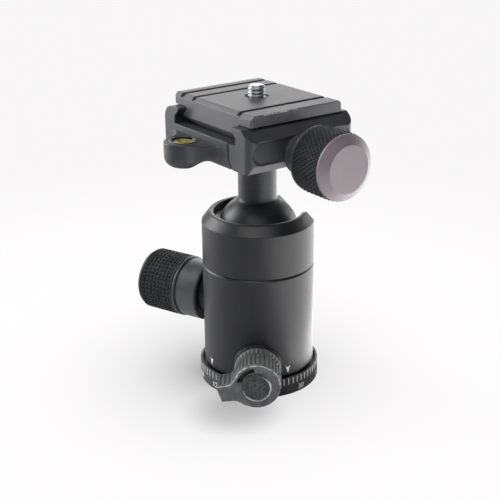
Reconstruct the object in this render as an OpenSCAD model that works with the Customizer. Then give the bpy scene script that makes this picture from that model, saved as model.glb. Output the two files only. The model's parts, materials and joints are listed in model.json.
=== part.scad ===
// Tripod ball head with a screw clamp and quick plate.
// Frame: Z up, origin in the middle of the underside. X runs along the clamp channel,
// -Y is the clamp knob side.
// All sizes are in millimetres.

/* [Housing] */

// Diameter of the housing barrel
body_dia = 42; // [41:0.5:48]
// Depth of the seam between the two housing halves, below the ball centre
seam_drop = 11.1; // [10.5:0.1:13]
// Width of the chamfer at the rim, measured inwards
rim_bevel = 2.6; // [1.8:0.1:3]
// Height of the chamfer at the rim
rim_bevel_height = 3.8; // [3:0.1:5]
// Compass direction of the drop notch
notch_angle = -20.7; // [-45:0.1:10]
// Clear width of the drop notch
notch_width = 16; // [15.6:0.1:17]

/* [Ball and stem] */

// Diameter of the ball
ball_dia = 31.4; // [29:0.2:32]
// Diameter of the stem
stem_dia = 13.8; // [12:0.1:14.2]
// Height from the ball centre to the top of the stem
stem_length = 32.9; // [30:0.1:40]

/* [Panning base] */

// How far the dial ring stands out past the barrel
ring_overhang = 1.75; // [1.5:0.05:2.2]
// Height of the dial ring
ring_height = 7.2; // [7:0.1:7.6]
// Number of lines on the dial ring
dial_lines = 72; // [36:36:72]
// Length of each dial line
dial_line_length = 2.6; // [1.6:0.1:3]
// Compass direction of one of the dial lines
dial_zero = -81.7; // [-90:0.1:-60]

/* [Main lock knob] */

// Compass direction of the main lock knob
lock_angle = 111.1; // [90:0.1:150]
// Diameter of the rubber grip
lock_grip_dia = 24.2; // [22:0.2:26]
// Length of the rubber grip
lock_grip_length = 16; // [12:0.5:20]
// Number of stud rows around the grip
lock_stud_rows = 28; // [20:1:32]
// Number of stud rings along the grip
lock_stud_rings = 9; // [6:1:10]

/* [Pan lock lever] */

// Compass direction of the pan lock lever
pan_angle = -127.2; // [-150:0.1:-100]
// Diameter of the round part of the lever
pan_lever_dia = 17.6; // [16:0.2:18]
// Reach of the wing from the screw axis
pan_wing_reach = 14.8; // [13:0.2:18]
// Number of ribs in a full turn of the lever rim
pan_rib_count = 34; // [24:1:36]

/* [Clamp] */

// Length of the clamp along the channel
clamp_length = 46; // [42:1:54]
// Distance from the channel middle to the back of the fixed jaw
fixed_jaw_reach = 26; // [24.5:0.5:30]
// Distance from the channel middle to the front of the moving jaw
moving_jaw_reach = 27; // [26:0.5:29]
// Diameter of the level window
level_dia = 8; // [7:0.2:8.6]

/* [Clamp knob] */

// Diameter of the clamp knob grip
clamp_grip_dia = 23.4; // [20:0.2:25]
// Length of the clamp knob grip
clamp_grip_length = 13; // [10:0.5:18]
// Number of flutes around the clamp knob grip
clamp_flutes = 36; // [24:2:40]

/* [Quick plate] */

// Length of the plate along the channel
plate_length = 39.4; // [36:0.2:60]
// Width of the plate top
plate_width = 47.8; // [46:0.2:52]
// Thickness of the plate flange
plate_flange = 4.1; // [3.6:0.1:5]
// Depth of the grooves in the plate top
plate_groove_depth = 1.2; // [0.6:0.1:1.8]
// Length of camera screw that stands above the plate
screw_stand = 4.1; // [3.5:0.1:5.5]

/* [Hidden] */

// Smoothness
$fn = 72;
fn_small = 36;
fn_fine = 96;
fn_ball = 80;

// Clearances
run_gap = 0.05;      // radial gap of parts that turn or slide in each other
seat_gap = 0.05;     // gap between the ball and the seat ring
slide_gap = 0.1;     // gap between the plate dovetail and the clamp channel
open_gap = 0.3;      // air between pieces that pass each other
overlap = 0.02;      // how far joined solids run into each other
through = 300;       // longer than any cut

// Base, from the ground up
insert_h = 10;
insert_wall = 2.1;
tripod_minor_r = 4.1;
tripod_pitch = 1.5875;
insert_r = tripod_minor_r + insert_wall;
flange_z = 2.6;
flange_t = 3.8;
base_top = flange_z + flange_t;
washer_t = 0.7;
body_z = base_top + washer_t;      // underside of the barrel, on the thrust washer
bushing_len = 10.9;
spindle_top = body_z + bushing_len;
retainer_t = 1.2;
retainer_head = 2.9;
spindle_r = 9.5;
spindle_screw_r = 2.5;
spindle_flange_r = 17;
brake_depth = 1;                   // depth of the brake groove in the spindle
base_screw_ring = 13.6;
base_screw_r = 1.5;

// Radii of the barrel, from the outside in
body_r = body_dia / 2;
barrel_wall = 2.45;
spigot_r = body_r - barrel_wall;   // thread spigot of the lower half
bore_r = spigot_r - 0.25;          // bore that holds the seat ring
chamber_r = spigot_r - 2.05;
mouth_r = bore_r - 1.3;            // clear mouth under the rim
rim_in_r = body_r - rim_bevel - 0.6;
ring_r = body_r + ring_overhang;
lip_t = 1;
lip_r = ring_r - lip_t;
ring_bore_r = ring_r - 2.1;
ring_step = ring_height - 2.2;
bushing_t = 1.7;
bushing_r = spindle_r + bushing_t;
piston_r = bushing_r + 0.8;

// Heights of the barrel, from the piston up
piston_z = spindle_top + retainer_t + retainer_head + 0.9;
piston_len = 15.2;
piston_top = piston_z + piston_len;
chamber_z = piston_top + 1.2;
spring_h = 1.5;
spring_in_r = 5;
spring_r = 11;
ball_r = ball_dia / 2;
seat_z = piston_top + spring_h + 0.1;
seat_floor = 2.4;
seat_len = 7.6;
seat_r = 12.6;
seat_top = seat_z + seat_len;
ball_z = seat_z + seat_floor + ball_r;
seam_height = ball_z - seam_drop;
seam_gap = 0.4;
spigot_len = 2.8;
spigot_top = seam_height + spigot_len;
rim_rise = 9.5;
rim_z = ball_z + rim_rise;
bevel_z = rim_z - rim_bevel_height;
ring_seat_z = rim_z - 2.4;         // shoulder over the seat ring
ring_seat_len = 5.8;

// Main lock
lock_z = piston_z + 6.1;
lock_screw_r = 4;
lock_tip_d = 6;
lock_cone = 3.4;
lock_bush_r = lock_screw_r + 2;
lock_pocket_r = lock_screw_r + 1;
boss_r = 8.8;
lock_boss_d = body_r + 0.9;
collar_d = lock_boss_d + 0.6;
collar_len = 9.3;
bead_t = 1.3;
lock_r = lock_grip_dia / 2;
collar_r = lock_r - 0.5;
hub_r = lock_r - 1.7;
grip_d = collar_d + collar_len + bead_t;
grip_end = grip_d + lock_grip_length;
lock_cap_t = 1.1;
lock_end = grip_end + lock_cap_t;
stud_depth = 0.5;
stud_gap = 0.75;

// Pan lock
pan_z = body_z + 5.7;
pan_screw_r = 2.95;
shoe_r = 3.45;
shoe_d = spindle_r - brake_depth + run_gap;
shoe_len = 6.85;
pan_r = pan_lever_dia / 2;
pan_boss_d = body_r + 1.4;
lever_d = ring_r + 0.4;
lever_len = 14.25;
lever_front = lever_d + lever_len;
lever_lip = 1.2;
wing_back = 4.5;
badge_r = 5.3;
rib_r = 0.42;

// Clamp, from the underside up
clamp_z = ball_z + stem_length;
clamp_floor = 9.1;
floor_z = clamp_z + clamp_floor;
tail_half = 19.05;       // half width of the plate dovetail
tail_edge = 1.5;         // upright edge at the foot of the dovetail
tail_rise = 4.4;         // height of the sloping flank
tail_neck = 0.25;        // upright edge over the flank
plate_foot = floor_z + slide_gap;
plate_under = plate_foot + tail_edge + tail_rise + tail_neck;
plate_top = plate_under + plate_flange;
clamp_top = plate_under - open_gap;
channel_half = tail_half + slide_gap;
lip_overhang = 4;
lip_half = channel_half - lip_overhang;
clamp_half = clamp_length / 2;
split_b = 14.6;
screw_z = clamp_z + 4.2;
clamp_screw_r = 3;
bolt_r = 3;
bolt_head_r = 5;
bolt_head = 4.1;
bolt_len = 9;
level_r = level_dia / 2;
bezel_r = level_r + 1.2;
lug_r = bezel_r + 2;
lug_x = -clamp_half - bezel_r + 0.1;
lug_y = 5.2;
lug_top = floor_z - 2.5;
lug_foot = clamp_z - 2;    // the lug hangs a little below the clamp
lug_round = 3.5;           // rounding under the lug
lug_fillet = 9;
cup_z = lug_top - 4.8;
cup_floor = 0.6;
lens_t = 0.9;
pin_x = clamp_half - 8.5;
pin_r = 2;
pin_root = 4;
spring_pocket_r = pin_r + 1.2;
spring_pocket = 4;

// Clamp knob
neck_r = 7.5;
neck_sink = 0.9;         // how far the knob neck sits in the jaw recess
flange_d = moving_jaw_reach + 7.2;
flange_edge = 0.9;
clamp_grip_r = clamp_grip_dia / 2;
clamp_hub_r = clamp_grip_r - 2;
grip_start = flange_d + flange_edge;
cap_d = grip_start + clamp_grip_length;
cap_side = 1;
cap_cone = 2.2;
cap_slope = 3.2;

// Quick plate
plate_half = plate_width / 2;
camera_r = 3.175;
camera_pitch = 1.27;
thread_depth = 0.5;
screw_neck_r = 2.4;        // plain neck of the camera screw, under its thread
head_r = 7;
head_h = 2.6;
head_pocket_r = head_r + 0.6;
head_pocket = 4.4;
clip_r = 5.6;
clip_t = 0.7;

// Piece to draw, or "all"

// ---------- helpers ----------

// A turned piece from a list of [radius, height] points
module turned(points, fn = 72) {
    rotate_extrude($fn = fn) polygon(points);
}

// Puts +Z of a piece on a sideways axis that points out at a compass angle
module outward(angle, height) {
    translate([0, 0, height]) rotate([0, 0, angle]) rotate([0, 90, 0]) children();
}

// Puts +Z of a piece on the clamp knob axis
module knob_side() {
    translate([0, 0, screw_z]) rotate([90, 0, 0]) children();
}

// Extrudes an outline drawn as [distance to the knob side, height] along the channel
module along_channel(length) {
    rotate([90, 0, -90]) linear_extrude(height = length, center = true) children();
}

// Square with rounded corners, from one corner to the other
module round_box(x0, y0, x1, y1, r) {
    translate([x0 + r, y0]) square([x1 - x0 - 2 * r, y1 - y0]);
    translate([x0, y0 + r]) square([x1 - x0, y1 - y0 - 2 * r]);
    for (x = [x0 + r, x1 - r], y = [y0 + r, y1 - r]) translate([x, y]) circle(r = r, $fn = fn_small);
}

// Plain or hexagonal pin from height a to height b
module rod(r, a, b, fn = 36) {
    translate([0, 0, a]) cylinder(r = r, h = b - a, $fn = fn);
}

module ball_space(extra) {
    translate([0, 0, ball_z]) sphere(r = ball_r + extra, $fn = fn_ball);
}

// The drop notch, open at the top and with a round foot and eased corners
module notch_cut() {
    half = notch_width / 2;
    ease = 1.6;
    outward(notch_angle, ball_z) linear_extrude(height = through) union() {
        circle(r = half);
        translate([-through, -half]) square([through, notch_width]);
        for (side = [-1, 1]) difference() {
            translate([-through, side > 0 ? half - overlap : -half - ease])
                square([through - rim_rise + ease, ease + overlap]);
            translate([ease - rim_rise, side * (half + ease)]) circle(r = ease, $fn = fn_small);
        }
    }
}

// ---------- panning base ----------

// Repeats a piece at the three base screws
module at_base_screws() {
    for (i = [0:2]) rotate(120 * i + 30) translate([base_screw_ring, 0, 0]) children();
}

module base_plate() {
    groove_r = base_screw_ring + 2.2;
    rim_r = ring_bore_r - 1.05;
    color([0.1, 0.1, 0.11]) difference() {
        turned([[insert_r, 0], [groove_r, 0], [groove_r, 0.35], [groove_r + 1, 0.35], [groove_r + 1, 0],
            [ring_bore_r - 0.5, 0], [ring_bore_r, 0.5], [ring_bore_r, ring_step], [rim_r, ring_step],
            [rim_r, base_top], [spindle_flange_r, base_top], [spindle_flange_r, flange_z],
            [insert_r, flange_z]]);
        at_base_screws() {
            translate([0, 0, -overlap]) cylinder(r1 = 2 * base_screw_r, r2 = base_screw_r + 0.1,
                h = base_screw_r, $fn = fn_small);
            rod(base_screw_r + 0.1, 0, base_top);
        }
    }
}

module degree_ring() {
    line_top = ring_height - 0.3;
    color([0.07, 0.07, 0.08]) difference() {
        turned([[ring_bore_r, 0], [ring_r - 0.5, 0], [ring_r, 0.5], [ring_r, ring_height - 0.25],
            [ring_r - 0.25, ring_height], [lip_r, ring_height], [lip_r, ring_step],
            [ring_bore_r, ring_step]]);
        for (i = [0:dial_lines - 1]) rotate(dial_zero + i * 360 / dial_lines)
            translate([ring_r - 0.2, -0.17, line_top - dial_line_length])
                cube([1, 0.34, dial_line_length]);
    }
}

module pan_spindle() {
    waist_r = spindle_r - brake_depth;
    color([0.62, 0.63, 0.65]) difference() {
        turned([[insert_r, flange_z], [spindle_flange_r, flange_z], [spindle_flange_r, base_top],
            [spindle_r, base_top], [spindle_r, pan_z - 1.2 - brake_depth], [waist_r, pan_z - 1.2],
            [waist_r, pan_z + 1.2], [spindle_r, pan_z + 1.2 + brake_depth],
            [spindle_r, spindle_top - 0.5], [spindle_r - 0.5, spindle_top],
            [spindle_screw_r, spindle_top], [spindle_screw_r, insert_h + 0.6],
            [insert_r, insert_h + 0.6]]);
        at_base_screws() rod(base_screw_r, flange_z - overlap, base_top - 0.3);
    }
}

module tripod_insert() {
    turns = floor((insert_h - 1) / tripod_pitch);
    groove = [for (i = [turns - 1:-1:0], p = [[0.9, 0], [0.65, 0.6], [0.4, 0.6], [0.15, 0]])
        [tripod_minor_r + p[1], 0.6 + (i + p[0]) * tripod_pitch]];
    color([0.7, 0.7, 0.72]) turned(concat([[tripod_minor_r, 0], [insert_r, 0], [insert_r, insert_h],
        [tripod_minor_r, insert_h]], groove), 48);
}

module base_screws() {
    r = base_screw_r;
    color([0.5, 0.5, 0.52]) at_base_screws() difference() {
        turned([[0, 0.1], [2 * r - 0.2, 0.1], [r, r], [r, base_top - 0.5], [0, base_top - 0.5]], 36);
        rod(0.75 * r, 0, r - 0.4, 6);
    }
}

module thrust_washer() {
    color([0.85, 0.84, 0.8]) turned([[spindle_r + 0.6, base_top], [spindle_flange_r + 2, base_top],
        [spindle_flange_r + 2, body_z], [spindle_r + 0.6, body_z]]);
}

module spindle_washer() {
    r = piston_r - 0.6;
    color([0.6, 0.6, 0.62]) turned([[spindle_screw_r + 0.1, spindle_top], [r, spindle_top],
        [r, spindle_top + retainer_t], [spindle_screw_r + 0.1, spindle_top + retainer_t]]);
}

module spindle_screw() {
    head_z = spindle_top + retainer_t;
    r = spindle_screw_r;
    color([0.35, 0.35, 0.37]) difference() {
        turned([[0, insert_h + 1], [r, insert_h + 1], [r, head_z], [1.7 * r, head_z],
            [1.7 * r, head_z + retainer_head - 0.3], [1.7 * r - 0.3, head_z + retainer_head],
            [0, head_z + retainer_head]], 36);
        rod(0.8 * r, head_z + 0.9, head_z + retainer_head + 1, 6);
    }
}

// ---------- housing ----------

module lower_housing() {
    color([0.09, 0.09, 0.1]) difference() {
        union() {
            turned([[bushing_r, body_z], [body_r - 0.6, body_z], [body_r, body_z + 0.6],
                [body_r, seam_height - 0.9], [body_r - 0.55, seam_height], [spigot_r, seam_height],
                [spigot_r, spigot_top], [chamber_r, spigot_top], [chamber_r, chamber_z],
                [piston_r + run_gap, chamber_z], [piston_r + run_gap, spindle_top - run_gap],
                [bushing_r, spindle_top - run_gap]], fn_fine);
            outward(lock_angle, lock_z) rod(boss_r, piston_r + 3, lock_boss_d, 72);
            intersection() {
                outward(pan_angle, pan_z) rod(pan_r + 0.2, bushing_r + 3, pan_boss_d, 72);
                rod(pan_boss_d + pan_r, body_z + 0.6, seam_height);
            }
        }
        outward(lock_angle, lock_z) rod(lock_bush_r, 0, through);
        outward(pan_angle, pan_z) rod(shoe_r + run_gap, 0, shoe_d + shoe_len + 1);
        outward(pan_angle, pan_z) rod(pan_screw_r + run_gap, 0, through);
        rod(piston_r + run_gap, spindle_top - run_gap, chamber_z + overlap, 72);
    }
}

module upper_housing() {
    low = seam_height + seam_gap;
    color([0.1, 0.1, 0.11]) difference() {
        turned([[spigot_r, low], [body_r - 0.3, low], [body_r, low + 0.3], [body_r, bevel_z],
            [rim_in_r + 1, rim_z - 0.45], [rim_in_r + 0.55, rim_z - 0.1], [rim_in_r + 0.3, rim_z],
            [rim_in_r, rim_z - 0.15], [mouth_r, rim_z - 1.6], [mouth_r, ring_seat_z],
            [bore_r, ring_seat_z], [bore_r, spigot_top], [spigot_r, spigot_top]], fn_fine);
        notch_cut();
    }
}

module pan_bushing() {
    r = spindle_r + run_gap;
    color([0.72, 0.5, 0.25]) difference() {
        turned([[r, body_z], [bushing_r, body_z], [bushing_r, spindle_top - run_gap],
            [r, spindle_top - run_gap]]);
        outward(pan_angle, pan_z) rod(shoe_r + run_gap, 0, through);
    }
}

module lock_bushing() {
    color([0.75, 0.6, 0.3]) outward(lock_angle, lock_z) difference() {
        rod(lock_bush_r, piston_r + 0.6, lock_boss_d - 0.3);
        rod(lock_screw_r + run_gap, 0, through);
    }
}

module socket_ring() {
    color([0.78, 0.62, 0.3]) difference() {
        rod(bore_r, ring_seat_z - ring_seat_len, ring_seat_z, fn_fine);
        ball_space(seat_gap);
        notch_cut();
    }
}

module socket_liner() {
    color([0.15, 0.15, 0.16]) difference() {
        rod(bore_r, spigot_top + 0.1, ring_seat_z - ring_seat_len, fn_fine);
        rod(ball_r + 0.5, 0, rim_z, fn_fine);
        notch_cut();
    }
}

module lift_piston() {
    r = piston_r;
    clear = 1.4;
    color([0.6, 0.6, 0.6]) difference() {
        turned([[0, piston_z], [r - 0.6, piston_z], [r, piston_z + 0.6], [r, piston_top - 0.5],
            [r - 0.5, piston_top], [0, piston_top]]);
        outward(lock_angle, lock_z) {
            rod(lock_pocket_r, lock_tip_d + lock_cone - 0.8, through);
            translate([0, 0, lock_tip_d - clear])
                cylinder(r1 = 1, r2 = lock_pocket_r, h = lock_cone - 0.8 + clear + overlap);
        }
    }
}

module seat_spring() {
    low = piston_top;
    h = spring_h;
    mid = (spring_in_r + spring_r) / 2;
    color([0.55, 0.55, 0.57]) turned([[spring_in_r, low + h - 0.5], [mid - 0.3, low], [mid + 0.4, low],
        [spring_r, low + h - 0.5], [spring_r, low + h], [mid, low + 0.5], [spring_in_r, low + h]], 48);
}

module ball_seat() {
    color([0.13, 0.13, 0.14]) difference() {
        turned([[3, seat_z], [seat_r - 1, seat_z], [seat_r, seat_z + 1], [seat_r, seat_top],
            [3, seat_top]]);
        ball_space(seat_gap);
    }
}

// ---------- ball and stem ----------

module ball_stem() {
    stem_r = stem_dia / 2;
    flare_r = stem_r + 0.6;
    root_z = ball_z + sqrt(ball_r * ball_r - flare_r * flare_r) - 0.4;
    color([0.08, 0.08, 0.09]) difference() {
        union() {
            ball_space(0);
            turned([[0, ball_z], [flare_r, ball_z], [flare_r, root_z], [stem_r + 0.2, root_z + 0.8],
                [stem_r, root_z + 1.6], [stem_r, clamp_z - 0.6], [stem_r - 0.6, clamp_z],
                [0, clamp_z]]);
        }
        rod(bolt_r, clamp_z - bolt_len - 3, clamp_z + 1);
    }
}

// ---------- main lock knob ----------

module lock_screw() {
    color([0.6, 0.6, 0.62]) outward(lock_angle, lock_z)
        turned([[0, lock_tip_d], [1, lock_tip_d], [lock_screw_r - 0.2, lock_tip_d + lock_cone - 0.4],
            [lock_screw_r, lock_tip_d + lock_cone], [lock_screw_r, lock_end - 4], [0, lock_end - 4]], 48);
}

module lock_knob_core() {
    r = collar_r;
    g = grip_d;
    color([0.12, 0.12, 0.13]) outward(lock_angle, lock_z) difference() {
        turned([[lock_screw_r, collar_d + 2], [r - 2.4, collar_d + 2], [r - 1.6, collar_d],
            [r - 0.6, collar_d], [r, collar_d + 0.6], [r, g - 1.6], [r - 0.5, g - 1.4],
            [r - 0.5, g - 0.9], [r + 0.3, g - 0.7], [r + 0.3, g], [hub_r, g], [hub_r, grip_end],
            [lock_screw_r, grip_end]]);
        rod(lock_screw_r, lock_end - 4, lock_end);
    }
}

module lock_knob_grip() {
    r = lock_r;
    margin = 0.9;
    ring_w = 0.6;
    step = (lock_grip_length - 2 * margin - ring_w) / lock_stud_rings;
    bare = 3.4;
    color([0.05, 0.05, 0.055]) outward(lock_angle, lock_z) difference() {
        turned([[hub_r, grip_d], [r - 0.35, grip_d], [r, grip_d + 0.35], [r, grip_end - 0.5],
            [r - 0.5, grip_end], [hub_r, grip_end]]);
        for (i = [1:lock_stud_rows - 1]) rotate(180 + i * 360 / lock_stud_rows)
            translate([r - stud_depth - 0.15, -stud_gap / 2, grip_d + margin + ring_w / 2])
                cube([stud_depth + 1, stud_gap, lock_grip_length - 2 * margin - ring_w]);
        for (i = [0:lock_stud_rings]) difference() {
            rod(r + 1, grip_d + margin + i * step, grip_d + margin + ring_w + i * step, 72);
            rod(r - stud_depth, 0, through, 72);
            translate([-r - 1, -bare / 2, 0]) cube([3, bare, through]);
        }
    }
}

module lock_knob_cap() {
    r = lock_r - 0.6;
    z = grip_end;
    color([0.13, 0.13, 0.14]) outward(lock_angle, lock_z)
        turned([[0, z], [r, z], [r, z + 0.6], [r - 0.5, z + lock_cap_t], [r - 2.2, z + lock_cap_t],
            [r - 2.6, z + 0.7], [0, z + 0.7]]);
}

// ---------- pan lock ----------

module pan_shoe() {
    tip = shoe_r - 2.3;
    end_d = shoe_d + shoe_len;
    color([0.75, 0.6, 0.3]) outward(pan_angle, pan_z)
        turned([[0, shoe_d], [tip, shoe_d], [tip + brake_depth, shoe_d + brake_depth + 0.2],
            [shoe_r, shoe_d + brake_depth + 1.1], [shoe_r, end_d], [0, end_d]], 48);
}

module pan_screw() {
    start = shoe_d + shoe_len + 0.4;
    color([0.6, 0.6, 0.62]) outward(pan_angle, pan_z)
        turned([[0, start], [pan_screw_r - 0.4, start], [pan_screw_r, start + 0.4],
            [pan_screw_r, lever_front - 3], [0, lever_front - 3]], 48);
}

module pan_washer() {
    color([0.5, 0.5, 0.52]) outward(pan_angle, pan_z) difference() {
        rod(badge_r - 0.1, pan_boss_d, lever_d);
        rod(pan_screw_r, 0, through);
    }
}

// Ribs all round the rim of the lever
module rim_ribs() {
    for (i = [0:pan_rib_count - 1]) rotate(i * 360 / pan_rib_count) translate([pan_r + 0.12, 0])
        circle(r = rib_r, $fn = 12);
}

// Outline of the pan lever seen from outside, wing to the left
module lever_outline() {
    r = pan_r;
    w = pan_wing_reach;
    circle(r = r);
    polygon([[0, 0.64 * r], [-0.84 * r, 0.42 * r], [-1.06 * r, 0.11 * r], [-w, 0], [-w + 2, -0.71 * r],
        [-0.84 * r, -0.67 * r], [-0.52 * r, -0.84 * r], [0, -0.84 * r]]);
}

module pan_lever() {
    w = pan_wing_reach;
    neck_u = 1.1 * pan_r;
    color([0.14, 0.14, 0.15]) outward(pan_angle, pan_z) rotate(90) difference() {
        union() {
            translate([0, 0, lever_d + wing_back])
                linear_extrude(height = lever_len - wing_back - lever_lip) difference() {
                    lever_outline();
                    difference() {
                        rim_ribs();
                        translate([-2 * w, -0.9 * pan_r]) square([2 * w - 0.5 * pan_r, 1.5 * pan_r]);
                    }
                    for (t = [0.12:0.24:0.84])
                        translate([-neck_u - t * (w - neck_u), 0.11 * (1 - t) * pan_r])
                            circle(r = rib_r, $fn = 12);
                }
            translate([0, 0, lever_front - lever_lip]) linear_extrude(height = lever_lip) lever_outline();
            translate([0, 0, lever_d]) linear_extrude(height = wing_back + overlap) difference() {
                circle(r = pan_r);
                rim_ribs();
            }
        }
        rod(pan_screw_r, 0, lever_front - 3);
        rod(badge_r, lever_front - 1, lever_front + 1);
        translate([0, 0, lever_front - 2 * lever_lip]) linear_extrude(height = 5) intersection() {
            difference() {
                circle(r = pan_r - 1.1);
                circle(r = badge_r + 0.5);
            }
            polygon([[0, 0], [1, 2 * pan_r], [-2 * pan_r, 1.5 * pan_r], [-2 * pan_r, 0.3 * pan_r]]);
        }
    }
}

module pan_badge() {
    r = badge_r;
    z = lever_front;
    color([0.3, 0.3, 0.31]) outward(pan_angle, pan_z)
        turned([[0, z - 1], [r, z - 1], [r, z + 0.35], [r - 0.3, z + 0.6], [r - 0.8, z + 0.6],
            [r - 1, z + 0.3], [0, z + 0.3]], 72);
}

// ---------- clamp ----------

// Channel half with a dovetail lip; side is +1 for the knob side
function lip_points(side) = [[side * channel_half, floor_z],
    [side * channel_half, floor_z + tail_edge + 0.2],
    [side * lip_half, floor_z + tail_edge + 0.2 + lip_overhang], [side * lip_half, clamp_top]];

// Repeats a sideways piece on both guide pin axes
module at_pins() {
    for (x = [-pin_x, pin_x]) translate([x, 0, 0]) knob_side() children();
}

module clamp_body() {
    b = fixed_jaw_reach;
    color([0.15, 0.16, 0.17]) difference() {
        union() {
            along_channel(clamp_length) polygon(concat([[-b + 1.2, clamp_z], [split_b, clamp_z],
                [split_b, floor_z]], lip_points(-1), [[-b + 5.5, clamp_top], [-b + 2.6, clamp_top - 0.8],
                [-b + 0.7, clamp_top - 2.2], [-b, clamp_top - 4.2], [-b, clamp_z + 1.2]]));
            level_lug();
        }
        translate([lug_x, lug_y, 0]) rod(bezel_r, cup_z, lug_top + 1);
        rod(bolt_r + 0.2, 0, through);
        rod(bolt_head_r + open_gap, floor_z - bolt_head - 0.5, floor_z + 1);
        knob_side() rod(clamp_screw_r + run_gap, bolt_head_r + 1, through);
        at_pins() {
            rod(pin_r, pin_root, through);
            rod(spring_pocket_r, split_b - spring_pocket, through);
        }
        translate([-clamp_half - 1, lug_y - 2.2, lug_top + 1.3]) rotate([0, 90, 0]) rod(0.7, 0, 4, 24);
    }
}

// Lug for the level: a round pod with a soft foot, led into the end of the clamp
module level_lug() {
    r = lug_r;
    f = lug_round;
    foot = [for (i = [0:6]) [r - f + f * sin(15 * i), lug_foot + f - f * cos(15 * i)]];
    translate([lug_x, lug_y, 0]) turned(concat([[0, lug_foot]], foot, [[r, lug_top], [0, lug_top]]), 72);
    translate([0, 0, clamp_z]) linear_extrude(height = lug_top - clamp_z) lug_fillets();
}

// Web between the lug and the clamp seen from above, with a hollow fillet on each side
module lug_fillets() {
    f = lug_fillet;
    end_x = -clamp_half + overlap;
    along = end_x - f - lug_x;
    across = sqrt(pow(lug_r + f, 2) - along * along);
    touch = lug_r / (lug_r + f);
    difference() {
        translate([lug_x + touch * along, lug_y - across])
            square([end_x - lug_x - touch * along, 2 * across]);
        for (side = [-1, 1]) translate([end_x - f, lug_y + side * across]) circle(r = f, $fn = fn_small);
    }
}

module clamp_bolt() {
    r = bolt_r;
    head = floor_z - bolt_head - 0.4;
    color([0.4, 0.4, 0.42]) difference() {
        turned([[0, clamp_z - bolt_len], [r, clamp_z - bolt_len], [r, head], [bolt_head_r, head],
            [bolt_head_r, head + bolt_head - 0.4], [bolt_head_r - 0.4, head + bolt_head],
            [0, head + bolt_head]], 48);
        rod(0.5 * bolt_head_r, head + 1.5, head + bolt_head + 1, 6);
    }
}

module guide_pins() {
    color([0.66, 0.66, 0.68]) at_pins() rod(pin_r, pin_root, moving_jaw_reach - 4);
}

module jaw_springs() {
    n = 4;
    a = split_b - spring_pocket + 0.1;
    b = split_b + open_gap + spring_pocket - 0.1;
    p = (b - a) / n;
    outer = [for (i = [0:n - 1], q = [[0.25, 0.95], [0.75, 0.45]]) [pin_r + q[1], a + (i + q[0]) * p]];
    inner = [for (i = [n - 1:-1:0], q = [[0.75, 0.1], [0.25, 0.6]]) [pin_r + q[1], a + (i + q[0]) * p]];
    color([0.7, 0.7, 0.72]) at_pins() turned(concat([[pin_r + 0.3, a], [pin_r + 0.7, a]], outer,
        [[pin_r + 0.7, b], [pin_r + 0.3, b]], inner), 36);
}

module level_cup() {
    r = level_r;
    color([0.05, 0.05, 0.05]) translate([lug_x, lug_y, 0])
        turned([[0, cup_z], [bezel_r, cup_z], [bezel_r, lug_top - 0.2], [bezel_r - 0.3, lug_top + 0.1],
            [r + 0.2, lug_top + 0.1], [r, lug_top - 0.2], [r, cup_z + cup_floor],
            [0, cup_z + cup_floor]], 48);
}

module level_liquid() {
    color([0.7, 0.78, 0.1]) translate([lug_x, lug_y, 0])
        rod(level_r, cup_z + cup_floor, lug_top - lens_t, 48);
}

module level_lens() {
    z = lug_top - lens_t;
    color([0.85, 0.9, 0.85]) translate([lug_x, lug_y, 0])
        turned([[0, z], [level_r, z], [level_r, z + 0.55], [0.6 * level_r, z + 0.75],
            [0, z + lens_t - 0.05]], 48);
}

module moving_jaw() {
    f = moving_jaw_reach;
    s = split_b + open_gap;
    recess_half = clamp_half - 6;
    recess_low = clamp_z + 3.6;
    recess_h = 7.4;
    color([0.15, 0.16, 0.17]) difference() {
        intersection() {
            along_channel(clamp_length) polygon(concat([[s, floor_z]], lip_points(1),
                [[f - 4.5, clamp_top], [f, clamp_top - 3.8], [f, clamp_z + 3.4], [f - 1.5, clamp_z],
                [s, clamp_z]]));
            linear_extrude(height = through) round_box(-clamp_half, -f, clamp_half, f, 3);
        }
        translate([-recess_half, -f - 1, recess_low]) cube([2 * recess_half, 2, recess_h]);
        for (x = [-recess_half, recess_half]) translate([x, -f, recess_low + recess_h / 2])
            rotate([90, 0, 0]) rod(recess_h / 2, -1, 3);
        knob_side() rod(clamp_screw_r + 0.4, 0, through);
        knob_side() rod(neck_r + open_gap, f - neck_sink - 0.1, through);
        at_pins() {
            rod(pin_r + run_gap, 0, f - 3.4);
            rod(spring_pocket_r, 0, s + spring_pocket);
        }
    }
}

// ---------- clamp knob ----------

module clamp_screw() {
    r = clamp_screw_r;
    start = bolt_head_r + 1.2;
    color([0.6, 0.6, 0.62]) knob_side() turned([[0, start], [r - 0.5, start], [r, start + 0.5],
        [r, cap_d - 2], [0, cap_d - 2]], 48);
}

module clamp_knob_core() {
    r = clamp_grip_r;
    start = moving_jaw_reach - neck_sink;
    color([0.35, 0.34, 0.36]) knob_side() difference() {
        turned([[clamp_screw_r, start], [neck_r, start], [neck_r, flange_d], [r - 0.2, flange_d],
            [r, flange_d + 0.2], [r, grip_start], [clamp_hub_r, grip_start], [clamp_hub_r, cap_d],
            [clamp_screw_r, cap_d]]);
        rod(clamp_screw_r, cap_d - 2, cap_d + 1);
    }
}

module clamp_knob_grip() {
    r = clamp_grip_r + 0.1;
    color([0.04, 0.04, 0.045]) knob_side() difference() {
        turned([[clamp_hub_r, grip_start], [r, grip_start], [r, cap_d - 0.2], [r - 0.2, cap_d],
            [clamp_hub_r, cap_d]]);
        for (i = [0:clamp_flutes - 1]) rotate(i * 360 / clamp_flutes) translate([r + 0.25, 0, 0])
            rod(0.65, grip_start + 0.6, cap_d - 0.6, 4);
    }
}

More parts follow.
